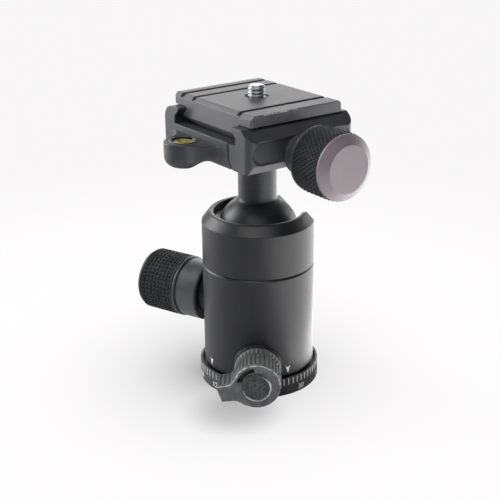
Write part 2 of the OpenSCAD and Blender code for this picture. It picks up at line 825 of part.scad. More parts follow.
module clamp_knob_cap() {
    r = clamp_grip_r - 0.3;
    top = cap_d + cap_side + cap_cone;
    color([0.62, 0.58, 0.6]) knob_side() turned([[0, cap_d], [r, cap_d], [r, cap_d + cap_side],
        [r - cap_slope, top], [0, top]]);
}

// ---------- quick plate ----------

// Outline of one groove in the plate top, cut between a and b
function plate_groove(a, b) = [[b, plate_top], [b, plate_top - plate_groove_depth],
    [a, plate_top - plate_groove_depth], [a, plate_top]];

module quick_plate() {
    t = plate_top;
    w = plate_half;
    flank = plate_foot + tail_edge;
    neck = tail_half - tail_rise;
    color([0.3, 0.3, 0.31]) difference() {
        along_channel(plate_length) polygon(concat([[-tail_half, plate_foot], [tail_half, plate_foot],
            [tail_half, flank], [neck, flank + tail_rise], [neck, plate_under], [w, plate_under],
            [w, t - 0.4], [w - 0.4, t]],
            plate_groove(w - 8.7, w - 6.6), plate_groove(-w + 11.6, -w + 13.4),
            plate_groove(-w + 4.7, -w + 6.7),
            [[-w + 0.4, t], [-w, t - 0.4], [-w, plate_under], [-neck, plate_under],
            [-neck, flank + tail_rise], [-tail_half, flank]]));
        rod(camera_r + 0.15, 0, through);
        rod(head_pocket_r, 0, plate_foot + head_pocket, 72);
        rod(camera_r + 1.1, t - 0.6, t + 1, 48);
    }
}

module camera_screw() {
    r = camera_r;
    z = plate_foot + 0.4;
    top = plate_top + screw_stand;
    lead = 0.7;
    turns = floor((screw_stand - lead) / camera_pitch);
    start = top - lead - turns * camera_pitch;
    flank = [for (i = [0:turns - 1], q = [[0.1, 1], [0.25, 1], [0.45, 0], [0.9, 0]])
        [r - q[1] * thread_depth, start + (i + q[0]) * camera_pitch]];
    color([0.75, 0.76, 0.78]) difference() {
        turned(concat([[0, z], [head_r - 0.4, z], [head_r, z + 0.4], [head_r, z + head_h],
            [screw_neck_r, z + head_h], [screw_neck_r, plate_top], [r, plate_top], [r, start]], flank,
            [[r, top - lead], [r - lead, top], [0, top]]), 48);
        translate([-through / 2, -0.8, z - 1]) cube([through, 1.6, 2.4]);
    }
}

module screw_clip() {
    z = plate_foot + 0.4 + head_h + 0.1;
    color([0.5, 0.5, 0.52]) difference() {
        rod(clip_r, z, z + clip_t);
        rod(screw_neck_r, z - 1, z + 2);
        translate([0, -screw_neck_r * 0.7, z - 1]) cube([clip_r + 1, 1.4 * screw_neck_r, clip_t + 2]);
    }
}

base_plate();
degree_ring();
pan_spindle();
tripod_insert();
base_screws();
thrust_washer();
spindle_washer();
spindle_screw();
lower_housing();
upper_housing();
pan_bushing();
lock_bushing();
socket_ring();
socket_liner();
lift_piston();
seat_spring();
ball_seat();
ball_stem();
lock_screw();
lock_knob_core();
lock_knob_grip();
lock_knob_cap();
pan_shoe();
pan_screw();
pan_washer();
pan_lever();
pan_badge();
clamp_body();
clamp_bolt();
guide_pins();
jaw_springs();
level_cup();
level_liquid();
level_lens();
moving_jaw();
clamp_screw();
clamp_knob_core();
clamp_knob_grip();
clamp_knob_cap();
quick_plate();
camera_screw();
screw_clip();
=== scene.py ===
"""Tripod ball head: the looks of each piece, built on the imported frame."""
import json
import math

import bmesh
import bpy
from bpy.props import FloatProperty, FloatVectorProperty, IntProperty, PointerProperty
from mathutils import Matrix, Vector


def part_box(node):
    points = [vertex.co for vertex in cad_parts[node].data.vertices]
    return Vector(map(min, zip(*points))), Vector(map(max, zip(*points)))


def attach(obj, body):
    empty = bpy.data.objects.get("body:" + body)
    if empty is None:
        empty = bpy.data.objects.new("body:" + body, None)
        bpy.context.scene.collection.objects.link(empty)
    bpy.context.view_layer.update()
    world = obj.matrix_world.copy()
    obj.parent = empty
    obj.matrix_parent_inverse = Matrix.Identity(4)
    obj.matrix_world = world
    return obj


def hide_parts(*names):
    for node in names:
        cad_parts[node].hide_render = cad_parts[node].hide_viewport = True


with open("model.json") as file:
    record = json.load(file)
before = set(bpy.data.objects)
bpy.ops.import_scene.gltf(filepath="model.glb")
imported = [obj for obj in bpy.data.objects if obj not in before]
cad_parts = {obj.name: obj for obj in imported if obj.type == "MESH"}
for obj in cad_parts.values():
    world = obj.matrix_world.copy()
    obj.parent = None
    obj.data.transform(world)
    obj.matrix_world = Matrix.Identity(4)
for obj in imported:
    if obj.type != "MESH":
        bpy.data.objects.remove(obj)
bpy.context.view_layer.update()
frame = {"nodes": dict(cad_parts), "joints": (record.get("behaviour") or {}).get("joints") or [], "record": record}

bl_info = {
    "name": "Tripod Ball Head",
    "version": (1, 0, 0),
    "blender": (4, 5, 0),
    "location": "View3D > Sidebar > Ball Head",
    "description": "Builds the visible pieces, finishes and stage of a tripod ball head",
    "category": "Object",
}

MM = 0.001

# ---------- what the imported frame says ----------


def low(node, axis):
    """Lowest coordinate of a CAD node along an axis, in millimetres."""
    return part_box(node)[0][axis] / MM


def high(node, axis):
    """Highest coordinate of a CAD node along an axis, in millimetres."""
    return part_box(node)[1][axis] / MM


def joint(name):
    """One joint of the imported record."""
    return next(j for j in frame["joints"] if j["name"] == name)


def compass(name):
    """Compass angle of a joint's axis, in radians."""
    axis = joint(name)["axis"]
    return math.atan2(axis[1], axis[0])


def height_of(name):
    """Height of a joint's axis, in millimetres."""
    return joint(name)["pos_m"][2] / MM


# ---------- outlines and meshes ----------


def soften(points, closed=True, steps=4):
    """Rounds the corners of an outline whose points carry a radius as a third value."""
    result = []
    count = len(points)
    for i, point in enumerate(points):
        here = Vector(point[:2])
        r = point[2] if len(point) > 2 else 0
        if r <= 0 or (not closed and i in (0, count - 1)):
            result.append(tuple(here))
            continue
        before = Vector(points[i - 1][:2]) - here
        after = Vector(points[(i + 1) % count][:2]) - here
        half = before.angle(after) / 2
        reach = min(r / math.tan(half), 0.48 * before.length, 0.48 * after.length)
        r = reach * math.tan(half)
        if half > math.radians(88):
            result.append(tuple(here))
            continue
        middle = here + (before.normalized() + after.normalized()).normalized() * (r / math.sin(half))
        start = here + before.normalized() * reach - middle
        end = here + after.normalized() * reach - middle
        sweep = start.angle_signed(end)
        for k in range(steps + 1):
            turn = Matrix.Rotation(-sweep * k / steps, 2)
            result.append(tuple(middle + turn @ start))
    return result


def dense(outline, step):
    """Adds points so that no stretch of a closed outline is longer than step."""
    result = []
    for a, b in zip(outline, outline[1:] + outline[:1]):
        count = max(1, math.ceil(math.dist(a, b) / step))
        result += [tuple(a[k] + (b[k] - a[k]) * i / count for k in (0, 1)) for i in range(count)]
    return result


def arc(radius, start, end, count, middle=(0, 0)):
    """Points on an arc, with angles in degrees."""
    turns = [math.radians(start + (end - start) * k / count) for k in range(count + 1)]
    return [(middle[0] + radius * math.cos(t), middle[1] + radius * math.sin(t)) for t in turns]


def round_over(edge, steps):
    """Steps over a rounded edge, from its foot: how far in, and how far along."""
    turns = [math.pi / 2 * k / steps for k in range(steps + 1)]
    return [(edge * (1 - math.sin(t)), edge * (1 - math.cos(t))) for t in turns]


def grid_faces(rows, columns, wrap_rows, wrap_columns):
    """Quads over a grid of points stored row by row."""
    faces = []
    for i in range(rows if wrap_rows else rows - 1):
        for j in range(columns if wrap_columns else columns - 1):
            a, b = i * columns, (i + 1) % rows * columns
            k = (j + 1) % columns
            faces.append((a + j, a + k, b + k, b + j))
    return faces


def lathe(profile, segments=160, closed=False, shape=None):
    """Turns a profile of (radius, height) points; shape(radius, height, angle) may move the radius."""
    verts = []
    for i in range(segments):
        angle = 2 * math.pi * i / segments
        for r, z in profile:
            reach = shape(r, z, angle) if shape else r
            verts.append((reach * math.cos(angle), reach * math.sin(angle), z))
    return verts, grid_faces(segments, len(profile), True, closed)


def loft(sections):
    """Joins closed sections with the same number of points, and caps both ends."""
    count = len(sections[0])
    verts = [p for section in sections for p in section]
    faces = grid_faces(len(sections), count, False, True)
    faces += [tuple(range(count))[::-1], tuple(range(len(verts) - count, len(verts)))]
    return verts, faces


def slab(outline, z0, z1, edge, steps=3):
    """Extrudes a closed outline from z0 to z1, with rounded edges at both ends."""
    count = len(outline)
    normals = []
    for i in range(count):
        a, b, c = outline[i - 1], outline[i], outline[(i + 1) % count]
        tangent = (Vector(b) - Vector(a)).normalized() + (Vector(c) - Vector(b)).normalized()
        tangent.normalize()
        normals.append((tangent.y, -tangent.x))
    area = sum(a[0] * b[1] - b[0] * a[1] for a, b in zip(outline, outline[1:] + outline[:1]))
    side = 1 if area > 0 else -1
    rings = [(inset, z0 + rise) for inset, rise in round_over(edge, steps)]
    rings += [(inset, z0 + z1 - z) for inset, z in reversed(rings)]
    return loft([[(x - side * nx * inset, y - side * ny * inset, z) for (x, y), (nx, ny) in zip(outline, normals)]
                 for inset, z in rings])


def clean(mesh):
    """Joins points that meet, drops empty faces and turns all faces outwards."""
    work = bmesh.new()
    work.from_mesh(mesh)
    bmesh.ops.remove_doubles(work, verts=work.verts, dist=1e-7)
    bmesh.ops.dissolve_degenerate(work, dist=1e-8, edges=work.edges)
    bmesh.ops.recalc_face_normals(work, faces=work.faces)
    work.to_mesh(mesh)
    work.free()


def make(name, shape, place=Matrix(), sharp=35):
    """A new object from (points, faces) in millimetres, set in place by a matrix."""
    verts, faces = shape
    mesh = bpy.data.meshes.new(name)
    mesh.from_pydata([place @ Vector(v) * MM for v in verts], [], faces)
    clean(mesh)
    obj = bpy.data.objects.new(name, mesh)
    bpy.context.scene.collection.objects.link(obj)
    smooth(obj, sharp)
    return obj


def finish(obj, look, body, nodes=(), flat=True):
    """Gives a piece its finish and its CAD body, and hides the CAD nodes it stands for."""
    obj.data.materials.clear()
    obj.data.materials.append(material(look))
    if flat:
        even = obj.modifiers.new("Even shading", "WEIGHTED_NORMAL")
        even.keep_sharp = True
    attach(obj, body)
    if nodes:
        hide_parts(*nodes)


def carve(obj, cutter):
    """Cuts one object with another, which is then removed."""
    tool = obj.modifiers.new("Carve", "BOOLEAN")
    tool.operation = "DIFFERENCE"
    tool.solver = "EXACT"
    tool.object = cutter
    bpy.context.view_layer.update()
    result = bpy.data.meshes.new_from_object(obj.evaluated_get(bpy.context.evaluated_depsgraph_get()))
    obj.modifiers.remove(tool)
    obj.data = result
    bpy.data.objects.remove(cutter)


def smooth(obj, angle=35):
    """Smooth shading with sharp edges above an angle, in degrees."""
    obj.data.shade_smooth()
    obj.data.set_sharp_from_angle(angle=math.radians(angle))


def ease_edges(obj, width):
    """Rounds the sharp edges left by a cut."""
    bevel = obj.modifiers.new("Soft edges", "BEVEL")
    bevel.width = width * MM
    bevel.segments = 3
    bevel.limit_method = "ANGLE"
    bevel.angle_limit = math.radians(35)
    bevel.use_clamp_overlap = True


def radial(angle, height):
    """Frame of a sideways piece: X to the right seen from outside, Y up, Z pointing out."""
    out = Vector((math.cos(angle), math.sin(angle), 0))
    right = Vector((-math.sin(angle), math.cos(angle), 0))
    place = Matrix((right, (0, 0, 1), out)).transposed().to_4x4()
    place.translation = (0, 0, height)
    return place


def channel_frame():
    """Frame of an outline drawn as [distance to the knob side, height], with Z along the channel."""
    return Matrix(((0, 0, -1, 0), (-1, 0, 0, 0), (0, 1, 0, 0), (0, 0, 0, 1)))


# ---------- shader graphs ----------


class Pin:
    """An output socket of a shader graph, with plain arithmetic."""

    def __init__(self, graph, socket):
        self.graph = graph
        self.socket = socket

    def math(self, operation, *others):
        """A Math node over pins and plain numbers."""
        return self.graph.put("ShaderNodeMath", {"operation": operation}, dict(enumerate(others)), 0)

    def __add__(self, other):
        return self.math("ADD", self, other)

    def __radd__(self, other):
        return self.math("ADD", other, self)

    def __sub__(self, other):
        return self.math("SUBTRACT", self, other)

    def __rsub__(self, other):
        return self.math("SUBTRACT", other, self)

    def __mul__(self, other):
        return self.math("MULTIPLY", self, other)

    def __rmul__(self, other):
        return self.math("MULTIPLY", other, self)

    def __abs__(self):
        return self.math("ABSOLUTE", self)

    def sqrt(self):
        return self.math("SQRT", self)

    def exp(self):
        return self.math("EXPONENT", self)

    def ramp(self, start, end):
        """0 at start and 1 at end, held at both ends with a soft run between them."""
        return self.graph.put("ShaderNodeMapRange", {"interpolation_type": "SMOOTHSTEP"},
                              {"Value": self, "From Min": start, "From Max": end}, "Result")


class Graph:
    """A material's node tree with one Principled shader."""

    def __init__(self, name):
        self.material = bpy.data.materials.new(name)
        self.material.use_nodes = True
        self.tree = self.material.node_tree
        self.shader = self.tree.nodes["Principled BSDF"]
        self.output = self.tree.nodes["Material Output"]
        coords = self.node("ShaderNodeTexCoord")
        self.where = Pin(self, coords.outputs["Object"])

    def node(self, kind, **settings):
        """Adds a node and sets its options."""
        node = self.tree.nodes.new(kind)
        for name, value in settings.items():
            setattr(node, name, value)
        return node

    def feed(self, socket, value):
        """Links a pin to a socket, or sets a plain value."""
        if isinstance(value, Pin):
            self.tree.links.new(value.socket, socket)
        else:
            socket.default_value = value

    def put(self, kind, settings, sockets, output):
        """Adds a node, sets its options, then its sockets, and returns one output."""
        node = self.node(kind, **settings)
        for name, value in sockets.items():
            self.feed(node.inputs[name], value)
        return Pin(self, node.outputs[output])

    def axes(self):
        """The three object coordinates, in millimetres."""
        split = self.node("ShaderNodeSeparateXYZ")
        self.feed(split.inputs[0], self.where)
        return [Pin(self, split.outputs[k]) * (1 / MM) for k in range(3)]

    def noise(self, size, detail=2.0, rough=0.5, stretch=None):
        """Noise with features of about this size in millimetres, from 0 to 1."""
        where = self.where
        if stretch:
            where = self.put("ShaderNodeVectorMath", {"operation": "MULTIPLY"},
                             {0: where, 1: stretch}, "Vector")
        return self.put("ShaderNodeTexNoise", {}, {"Vector": where, "Scale": 1 / (size * MM),
                                                   "Detail": detail, "Roughness": rough}, "Fac")

    def blend(self, factor, first, second):
        """Colour that goes from first to second with factor."""
        mix = self.node("ShaderNodeMix", data_type="RGBA")
        self.feed(mix.inputs["Factor"], factor)
        for socket, value in ((mix.inputs[6], first), (mix.inputs[7], second)):
            self.feed(socket, value if isinstance(value, Pin) else (*value, 1))
        return Pin(self, mix.outputs[2])

    def bump(self, height, distance):
        """Feeds the shader's normal from a height in 0 to 1, with distance in millimetres."""
        self.set("Normal", self.put("ShaderNodeBump", {}, {"Height": height, "Strength": 1.0,
                                                           "Distance": distance * MM}, "Normal"))

    def set(self, name, value):
        """Sets or links one socket of the shader."""
        if not isinstance(value, Pin) and name in ("Base Color", "Emission Color"):
            value = (*value, 1)
        self.feed(self.shader.inputs[name], value)


def anodised(name, colour, rough, grain=0.05, cast=0.12, worn=None, metallic=0.0):
    """Bead-blasted and anodised metal: fine grain, faint cloudiness, and bare metal where worn."""
    g = Graph(name)
    fine = g.noise(0.22, 3.0, 0.6)
    cloud = g.noise(9.0, 3.0)
    light = [c * (1 + cast) for c in colour]
    dark = [c * (1 - cast) for c in colour]
    base = g.blend(cloud.ramp(0.3, 0.7), dark, light)
    roughness = rough + (fine - 0.5) * 0.12 + (cloud - 0.5) * 0.08
    if worn:
        bare = worn(g) * g.noise(2.4, 4.0, 0.65).ramp(0.42, 0.6)
        base = g.blend(bare, base, (0.8, 0.8, 0.8))
        roughness = roughness - bare * 0.12
        metallic = metallic + bare * (0.3 - metallic)
    g.set("Base Color", base)
    g.set("Roughness", roughness)
    g.set("Metallic", metallic)
    g.bump(fine, grain)
    return g.material


def bare_metal(name, colour, rough):
    """Turned or plated metal with fine tool lines and small stains."""
    g = Graph(name)
    lines = g.noise(0.5, 4.0, 0.6)
    stain = g.noise(3.0, 3.0)
    g.set("Base Color", g.blend(stain.ramp(0.35, 0.75), [c * 0.82 for c in colour], colour))
    g.set("Roughness", rough + (lines - 0.5) * 0.2)
    g.set("Metallic", 1.0)
    g.bump(lines, 0.02)
    return g.material


def rubber(name, colour, rough=0.62):
    """Moulded rubber with a dusty top and fine pores."""
    g = Graph(name)
    pores = g.noise(0.3, 3.0, 0.6)
    dust = g.noise(5.0, 4.0, 0.6)
    g.set("Base Color", g.blend(dust.ramp(0.45, 0.8), colour, [c * 1.5 + 0.004 for c in colour]))
    g.set("Roughness", rough + (pores - 0.5) * 0.16)
    g.set("Specular IOR Level", 0.4)
    g.bump(pores, 0.05)
    return g.material


def paint(name, colour):
    """Paint of the lines, numbers and marks, a little broken by the metal's grain."""
    g = Graph(name)
    chips = g.noise(0.5, 3.0, 0.6)
    g.set("Base Color", g.blend(chips.ramp(0.28, 0.42), [c * 0.6 for c in colour], colour))
    g.set("Roughness", 0.6 + (chips - 0.5) * 0.2)
    g.bump(chips, 0.02)
    return g.material


def near_line(value, at, width):
    """1 at a value, fading to 0 at a distance of width."""
    return 1 - abs(value - at).ramp(0.0, width)


MATERIALS = {}


def tone(name):
    """A colour from the settings, as plain numbers."""
    return [round(c, 5) for c in getattr(bpy.context.scene.ball_head_colours, name)]


def material(key):
    """The finished material of that name, made on first use."""
    if key not in MATERIALS:
        MATERIALS[key] = RECIPES[key]()
    return MATERIALS[key]


def plate_wear(g):
    """Wear on the plate's near top edge."""
    x, y, z = g.axes()
    edge = near_line(y, low("quick_plate", 1), 0.3) * (z - high("quick_plate", 2)).ramp(-0.7, -0.1)
    return edge * near_line(x, -8.5, 12.0) * 1.4


def lever_wear(g):
    """Wear on the lever's front edge."""
    axis = joint("pan_knob_turn")["axis"]
    x, y = g.axes()[:2]
    front = span("pan_lever", compass("pan_knob_turn"))[1]
    return near_line(x * axis[0] + y * axis[1], front - 0.2, 0.24)


def seat_finish():
    """Seat darkened for dirt and painted shade, with a thin line of bright brass as a painted glint."""
    g = Graph("seat_finish")
    x, y = g.axes()[:2]
    patch = g.noise(1.6, 3.0)
    # Painted glint: a thin line of bright brass near the seat's inner edge, broken by noise; the dark rest of the
    # seat is dirt and painted shade.
    painted_glint = near_line((x * x + y * y).sqrt(), 15.3, 0.4) * patch.ramp(0.4, 0.5)
    g.set("Base Color", g.blend(painted_glint, (0.05, 0.048, 0.046), (0.75, 0.55, 0.24)))
    g.set("Metallic", painted_glint * 0.8)
    g.set("Roughness", 0.42 - painted_glint * 0.12)
    g.bump(patch, 0.02)
    return g.material


def turned(name, colour, rough):
    """Turned and anodised metal with fine level streaks and polished bands."""
    g = Graph(name)
    streak = g.noise(1.0, 4.0, 0.7, stretch=(0.08, 0.08, 5.0))
    cloud = g.noise(7.0, 3.0)
    band = streak.ramp(0.32, 0.68)
    g.set("Base Color", g.blend(band, [c * 0.75 for c in colour], [c * 1.9 for c in colour]))
    g.set("Roughness", rough + (band - 0.5) * 0.14 + (cloud - 0.5) * 0.08)
    g.bump(streak, 0.06)
    return g.material


def disc_finish():
    """Dark cast disc with a mottled face and an edge rubbed bright at the lower right."""
    g = Graph("disc_finish")
    x, y, z = g.axes()
    axis = joint("pan_knob_turn")["axis"]
    right = y * axis[0] - x * axis[1]
    up = z - height_of("pan_knob_turn")
    radius = (right * right + up * up).sqrt()
    blotch = g.noise(0.8, 5.0, 0.7)
    rim = radius.ramp(4.5, 5.0)
    side = (right * 0.6 - up * 0.8).ramp(-3.5, 2.0)
    bare = rim * side * blotch.ramp(0.36, 0.5)
    base = g.blend(blotch.ramp(0.35, 0.7), (0.03, 0.032, 0.034), (0.13, 0.135, 0.135))
    g.set("Base Color", g.blend(bare, base, (0.75, 0.75, 0.74)))
    g.set("Metallic", 0.3 + bare * 0.6)
    g.set("Roughness", 0.5 - bare * 0.2 + (blotch - 0.5) * 0.2)
    g.bump(blotch, 0.12)
    return g.material


def fluid_finish():
    """Yellow-green level liquid, with painted shade that turns it darker and amber towards the far side."""
    g = Graph("level_fluid_finish")
    x, y = g.axes()[:2]
    tint = g.noise(2.2, 2.0)
    # Painted shade: the darker amber towards the far side stands in for refraction through the domed window.
    far = (x * 0.5 + y * 0.86 - (low("level_cup", 0) * 0.5 + 4.5)).ramp(-3.5, 6.0)
    base = g.blend(far + (tint - 0.5) * 0.5, (0.85, 0.9, 0.05), (0.5, 0.34, 0.03))
    g.set("Base Color", base)
    g.set("Roughness", 0.25 + (tint - 0.5) * 0.1)
    g.set("Coat Weight", 0.6)
    return g.material


def bubble_finish():
    """Air bubble seen through the liquid."""
    g = Graph("level_bubble_finish")
    tint = g.noise(1.2, 2.0)
    g.set("Base Color", g.blend(tint, (0.5, 0.4, 0.08), (0.75, 0.72, 0.25)))
    g.set("Roughness", 0.08 + tint * 0.05)
    g.set("Coat Weight", 1.0)
    return g.material


def window_finish():
    """Clear moulded window."""
    g = Graph("level_window_finish")
    haze = g.noise(2.0, 3.0)
    g.set("Base Color", (1.0, 1.0, 0.96))
    g.set("Roughness", 0.02 + haze * 0.04)
    g.set("Transmission Weight", 1.0)
    g.set("IOR", 1.45)
    return g.material


RECIPES = {
    "barrel": lambda: anodised("barrel_finish", tone("barrel"), 0.42),
    "ring": lambda: anodised("ring_finish", tone("dial"), 0.45),
    "ball": lambda: turned("ball_finish", tone("ball"), 0.4),
    "clamp": lambda: anodised("clamp_finish", tone("clamp"), 0.46, grain=0.04),
    "jaw": lambda: anodised("jaw_finish", tone("jaw"), 0.46, grain=0.04),
    "plate": lambda: anodised("plate_finish", tone("plate"), 0.48, worn=plate_wear),
    "lever": lambda: anodised("lever_finish", tone("lever"), 0.5, worn=lever_wear),
    "collar": lambda: anodised("collar_finish", tone("collar"), 0.4),
    "flange": lambda: anodised("flange_finish", (0.07, 0.07, 0.075), 0.42),
    "cap": lambda: anodised("cap_finish", tone("cap"), 0.48, grain=0.03, cast=0.05, metallic=0.2),
    "rubber": lambda: rubber("grip_rubber", tone("rubber")),
    "zinc": lambda: bare_metal("zinc_plate", tone("zinc"), 0.46),
    "steel": lambda: bare_metal("steel", (0.5, 0.5, 0.52), 0.32),
    "brass": lambda: bare_metal("brass", (0.66, 0.47, 0.2), 0.3),
    "seat": seat_finish,
    "lip": lambda: anodised("lip_finish", (0.06, 0.062, 0.068), 0.4),
    "nylon": lambda: rubber("nylon", (0.02, 0.02, 0.021), 0.45),
    "white_nylon": lambda: rubber("white_nylon", (0.6, 0.6, 0.57), 0.45),
    "dark_steel": lambda: bare_metal("dark_steel", (0.16, 0.16, 0.165), 0.35),
    "disc": disc_finish,
    "bezel": lambda: rubber("bezel", (0.003, 0.003, 0.003), 0.16),
    "fluid": fluid_finish,
    "bubble": bubble_finish,
    "window": window_finish,
    "white": lambda: paint("mark_paint", tone("mark")),
}


# ---------- shapes shared by the pieces ----------


def span(node, angle):
    """How near and how far a CAD node lies along a compass angle, in millimetres."""
    out = Vector((math.cos(angle), math.sin(angle), 0))
    world = frame["nodes"][node].matrix_world
    reaches = [(world @ v.co).dot(out) / MM for v in frame["nodes"][node].data.vertices]
    return min(reaches), max(reaches)


def soft_run(value):
    """Soft run from 0 to 1."""
    value = min(1.0, max(0.0, value))
    return value * value * (3 - 2 * value)


def bend(value, radius):
    """0 below zero and the value itself above it, with a rounded corner between."""
    if value <= -radius:
        return 0.0
    return value if value >= radius else (value + radius) ** 2 / (4 * radius)


def wave(value):
    """0 at whole numbers and 1 half way between them."""
    return 1 - abs(2 * (value % 1) - 1)


# ---------- the pieces ----------


def notch_cutter(sizes, spare=0.0):
    """Solid that cuts the drop notch: sides that open outwards, a soft foot and eased top corners."""
    ball = height_of("ball_tilt")
    rise = high("upper_housing", 2) - ball
    foot, corner, ease = 8.0 + spare, 8.0, sizes.notch_ease / MM
    near, far = sizes.notch_near / MM + spare, sizes.notch_far / MM + spare
    top = [(ease - ease * math.cos(math.radians(t)), rise - ease + ease * math.sin(math.radians(t)))
           for t in range(0, 91, 15)] + [(ease + 1, rise + 0.01), (ease + 1, rise + 5)]
    sections = []
    for out in (5, 60):
        spread = math.tan(sizes.notch_flare) * out
        left, right = near + spread, far + spread
        outline = arc(corner, 180, 270, 16, (corner - left, corner - foot))
        outline += arc(corner, 270, 360, 16, (right - corner, corner - foot))
        outline += [(right + x, y) for x, y in top] + [(-left - x, y) for x, y in reversed(top)]
        sections.append([(x, y, out) for x, y in outline])
    return make("notch_cutter", loft(sections), radial(sizes.notch_turn, ball))


def build_barrel(sizes):
    """The two halves of the barrel and their side bosses."""
    body_r = -low("upper_housing", 0)
    foot = low("lower_housing", 2)
    top = high("upper_housing", 2)
    seam_top = low("upper_housing", 2)
    seam = seam_top - 0.4
    core = body_r - 2.5
    lower = soften([(core - 9, foot), (body_r, foot, 0.5), (body_r, seam - 0.5, 0.35),
                    (body_r - 0.45, seam + 0.12, 0.2), (core, seam + 0.12), (core, seam + 1)], closed=False)
    finish(make("barrel_lower", lathe(lower, 256)), "barrel", "housing", ["lower_housing"])
    chamfer = sizes.rim_chamfer / MM
    inner = body_r - chamfer - 0.6
    upper = soften([(core, seam_top), (body_r, seam_top, 0.12), (body_r, top - 3.8, 0.6),
                    (body_r - chamfer, top - 0.4, 0.5), (inner, top, 0.35), (inner - 0.5, top - 1.5, 0.3),
                    (inner - 0.5, top - 2.6), (core, top - 2.6)])
    obj = make("barrel_upper", lathe(upper, 256, closed=True))
    carve(obj, notch_cutter(sizes))
    smooth(obj)
    ease_edges(obj, 0.3)
    finish(obj, "barrel", "housing", ["upper_housing"])

    pan, lock = compass("pan_knob_turn"), compass("lock_knob_turn")
    boss_r = high("pan_lever", 2) - height_of("pan_knob_turn") + 0.15
    lever = span("pan_lever", pan)[0]
    washer_r = boss_r - 0.1
    groove_r = boss_r - 0.7
    boss = soften([(0, body_r - 6), (boss_r, body_r - 6), (boss_r, lever - 1.15, 0.25),
                   (groove_r, lever - 1, 0.1), (groove_r, lever - 0.6), (washer_r, lever - 0.5, 0.15),
                   (washer_r, lever - 0.1, 0.15), (0, lever - 0.1)], closed=False)
    finish(make("pan_boss", lathe(boss, 96), radial(pan, height_of("pan_knob_turn"))), "barrel", "housing",
           ["lower_housing"])
    near = span("lock_knob_core", lock)[0]
    neck_r = 8.8
    neck = soften([(0, body_r - 8), (neck_r, body_r - 8), (neck_r, near - 0.2, 0.5), (6, near + 1.5),
                   (0, near + 1.5)], closed=False)
    finish(make("lock_boss", lathe(neck, 96), radial(lock, height_of("lock_knob_turn"))), "barrel",
           "housing", ["lower_housing"])


def build_socket(sizes):
    """The socket in the mouth of the barrel: lip ring, brass seat round the ball, and the liner below."""
    top = high("socket_ring", 2)
    foot = low("socket_ring", 2)
    outer = -low("socket_ring", 0)
    ball = height_of("ball_tilt")
    ball_r = high("ball_stem", 0) + 0.08
    rim = high("upper_housing", 2)
    lip_outer = -low("upper_housing", 0) - sizes.rim_chamfer / MM - 0.65
    lip_inner = sizes.lip_line / MM
    heights = [foot + (top - foot) * k / 12 for k in range(13)]
    seat = [(math.sqrt(ball_r ** 2 - (z - ball) ** 2), z) for z in heights]
    brass = seat + [(seat[-1][0] + 0.5, top), (lip_inner + 0.6, top - 0.3), (outer, top - 0.3), (outer, foot)]
    lip = soften([(lip_inner, top - 0.2, 0.2), (lip_inner, rim - 0.25, 0.45), (lip_outer, rim - 0.1, 0.3),
                  (lip_outer, top - 0.2)])
    sleeve_foot, sleeve_r = low("socket_liner", 2), ball_r + 0.4
    liner = [(sleeve_r, sleeve_foot), (outer, sleeve_foot), (outer, foot), (sleeve_r, foot)]
    for name, profile, look, slot, node in (("lip_ring", lip, "lip", "black_plastic", "socket_ring"),
                                            ("brass_seat", brass, "seat", "bronze", "socket_ring"),
                                            ("socket_sleeve", liner, "nylon", "black_plastic", "socket_liner")):
        obj = make(name, lathe(profile, 192, closed=True))
        carve(obj, notch_cutter(sizes, 0.0 if name == "lip_ring" else 0.6))
        smooth(obj)
        finish(obj, look, "housing", [node])


# How far one layer of paint stands out, in millimetres.
PAINT_PROUD = 0.02


def on_ring(name, shape, radius):
    """Wraps a flat shape, drawn in (along, up) millimetres and layers of paint, round a wall."""
    verts, faces = shape
    wrapped = []
    for x, y, layers in verts:
        reach = radius + PAINT_PROUD * layers
        wrapped.append((reach * math.cos(x / radius), reach * math.sin(x / radius), y))
    return make(name, (wrapped, faces))


def outline_shape(outline):
    """A flat outline as a thin plate: its face stands proud and its rim sinks in."""
    count = len(outline)
    verts = [(x, y, 1) for x, y in outline] + [(x, y, -8) for x, y in outline]
    faces = [tuple(range(count))] + [(i, (i + 1) % count, count + (i + 1) % count, count + i)
                                     for i in range(count)]
    return verts, faces


def number_shape(value, height):
    """The digits of a dial number as one layer of paint, centred, in millimetres."""
    curve = bpy.data.curves.new("digits", "FONT")
    curve.body = str(value)
    curve.align_x = "CENTER"
    curve.size = height * 1.38
    curve.offset = 0.03 * height
    curve.resolution_u = 3
    text = bpy.data.objects.new("digits", curve)
    bpy.context.scene.collection.objects.link(text)
    bpy.context.view_layer.update()
    mesh = bpy.data.meshes.new_from_object(text.evaluated_get(bpy.context.evaluated_depsgraph_get()))
    work = bmesh.new()
    work.from_mesh(mesh)
    bmesh.ops.triangulate(work, faces=work.faces)
    verts = [(v.co.x, v.co.y, 1.0) for v in work.verts]
    faces = [tuple(v.index for v in face.verts) for face in work.faces]
    work.free()
    bpy.data.objects.remove(text)
    bpy.data.meshes.remove(mesh)
    return verts, faces


def joined(shapes):
    """Several (points, faces) shapes as one."""
    verts, faces = [], []
    for more_verts, more_faces in shapes:
        start = len(verts)
        verts += more_verts
        faces += [tuple(start + k for k in face) for face in more_faces]
    return verts, faces


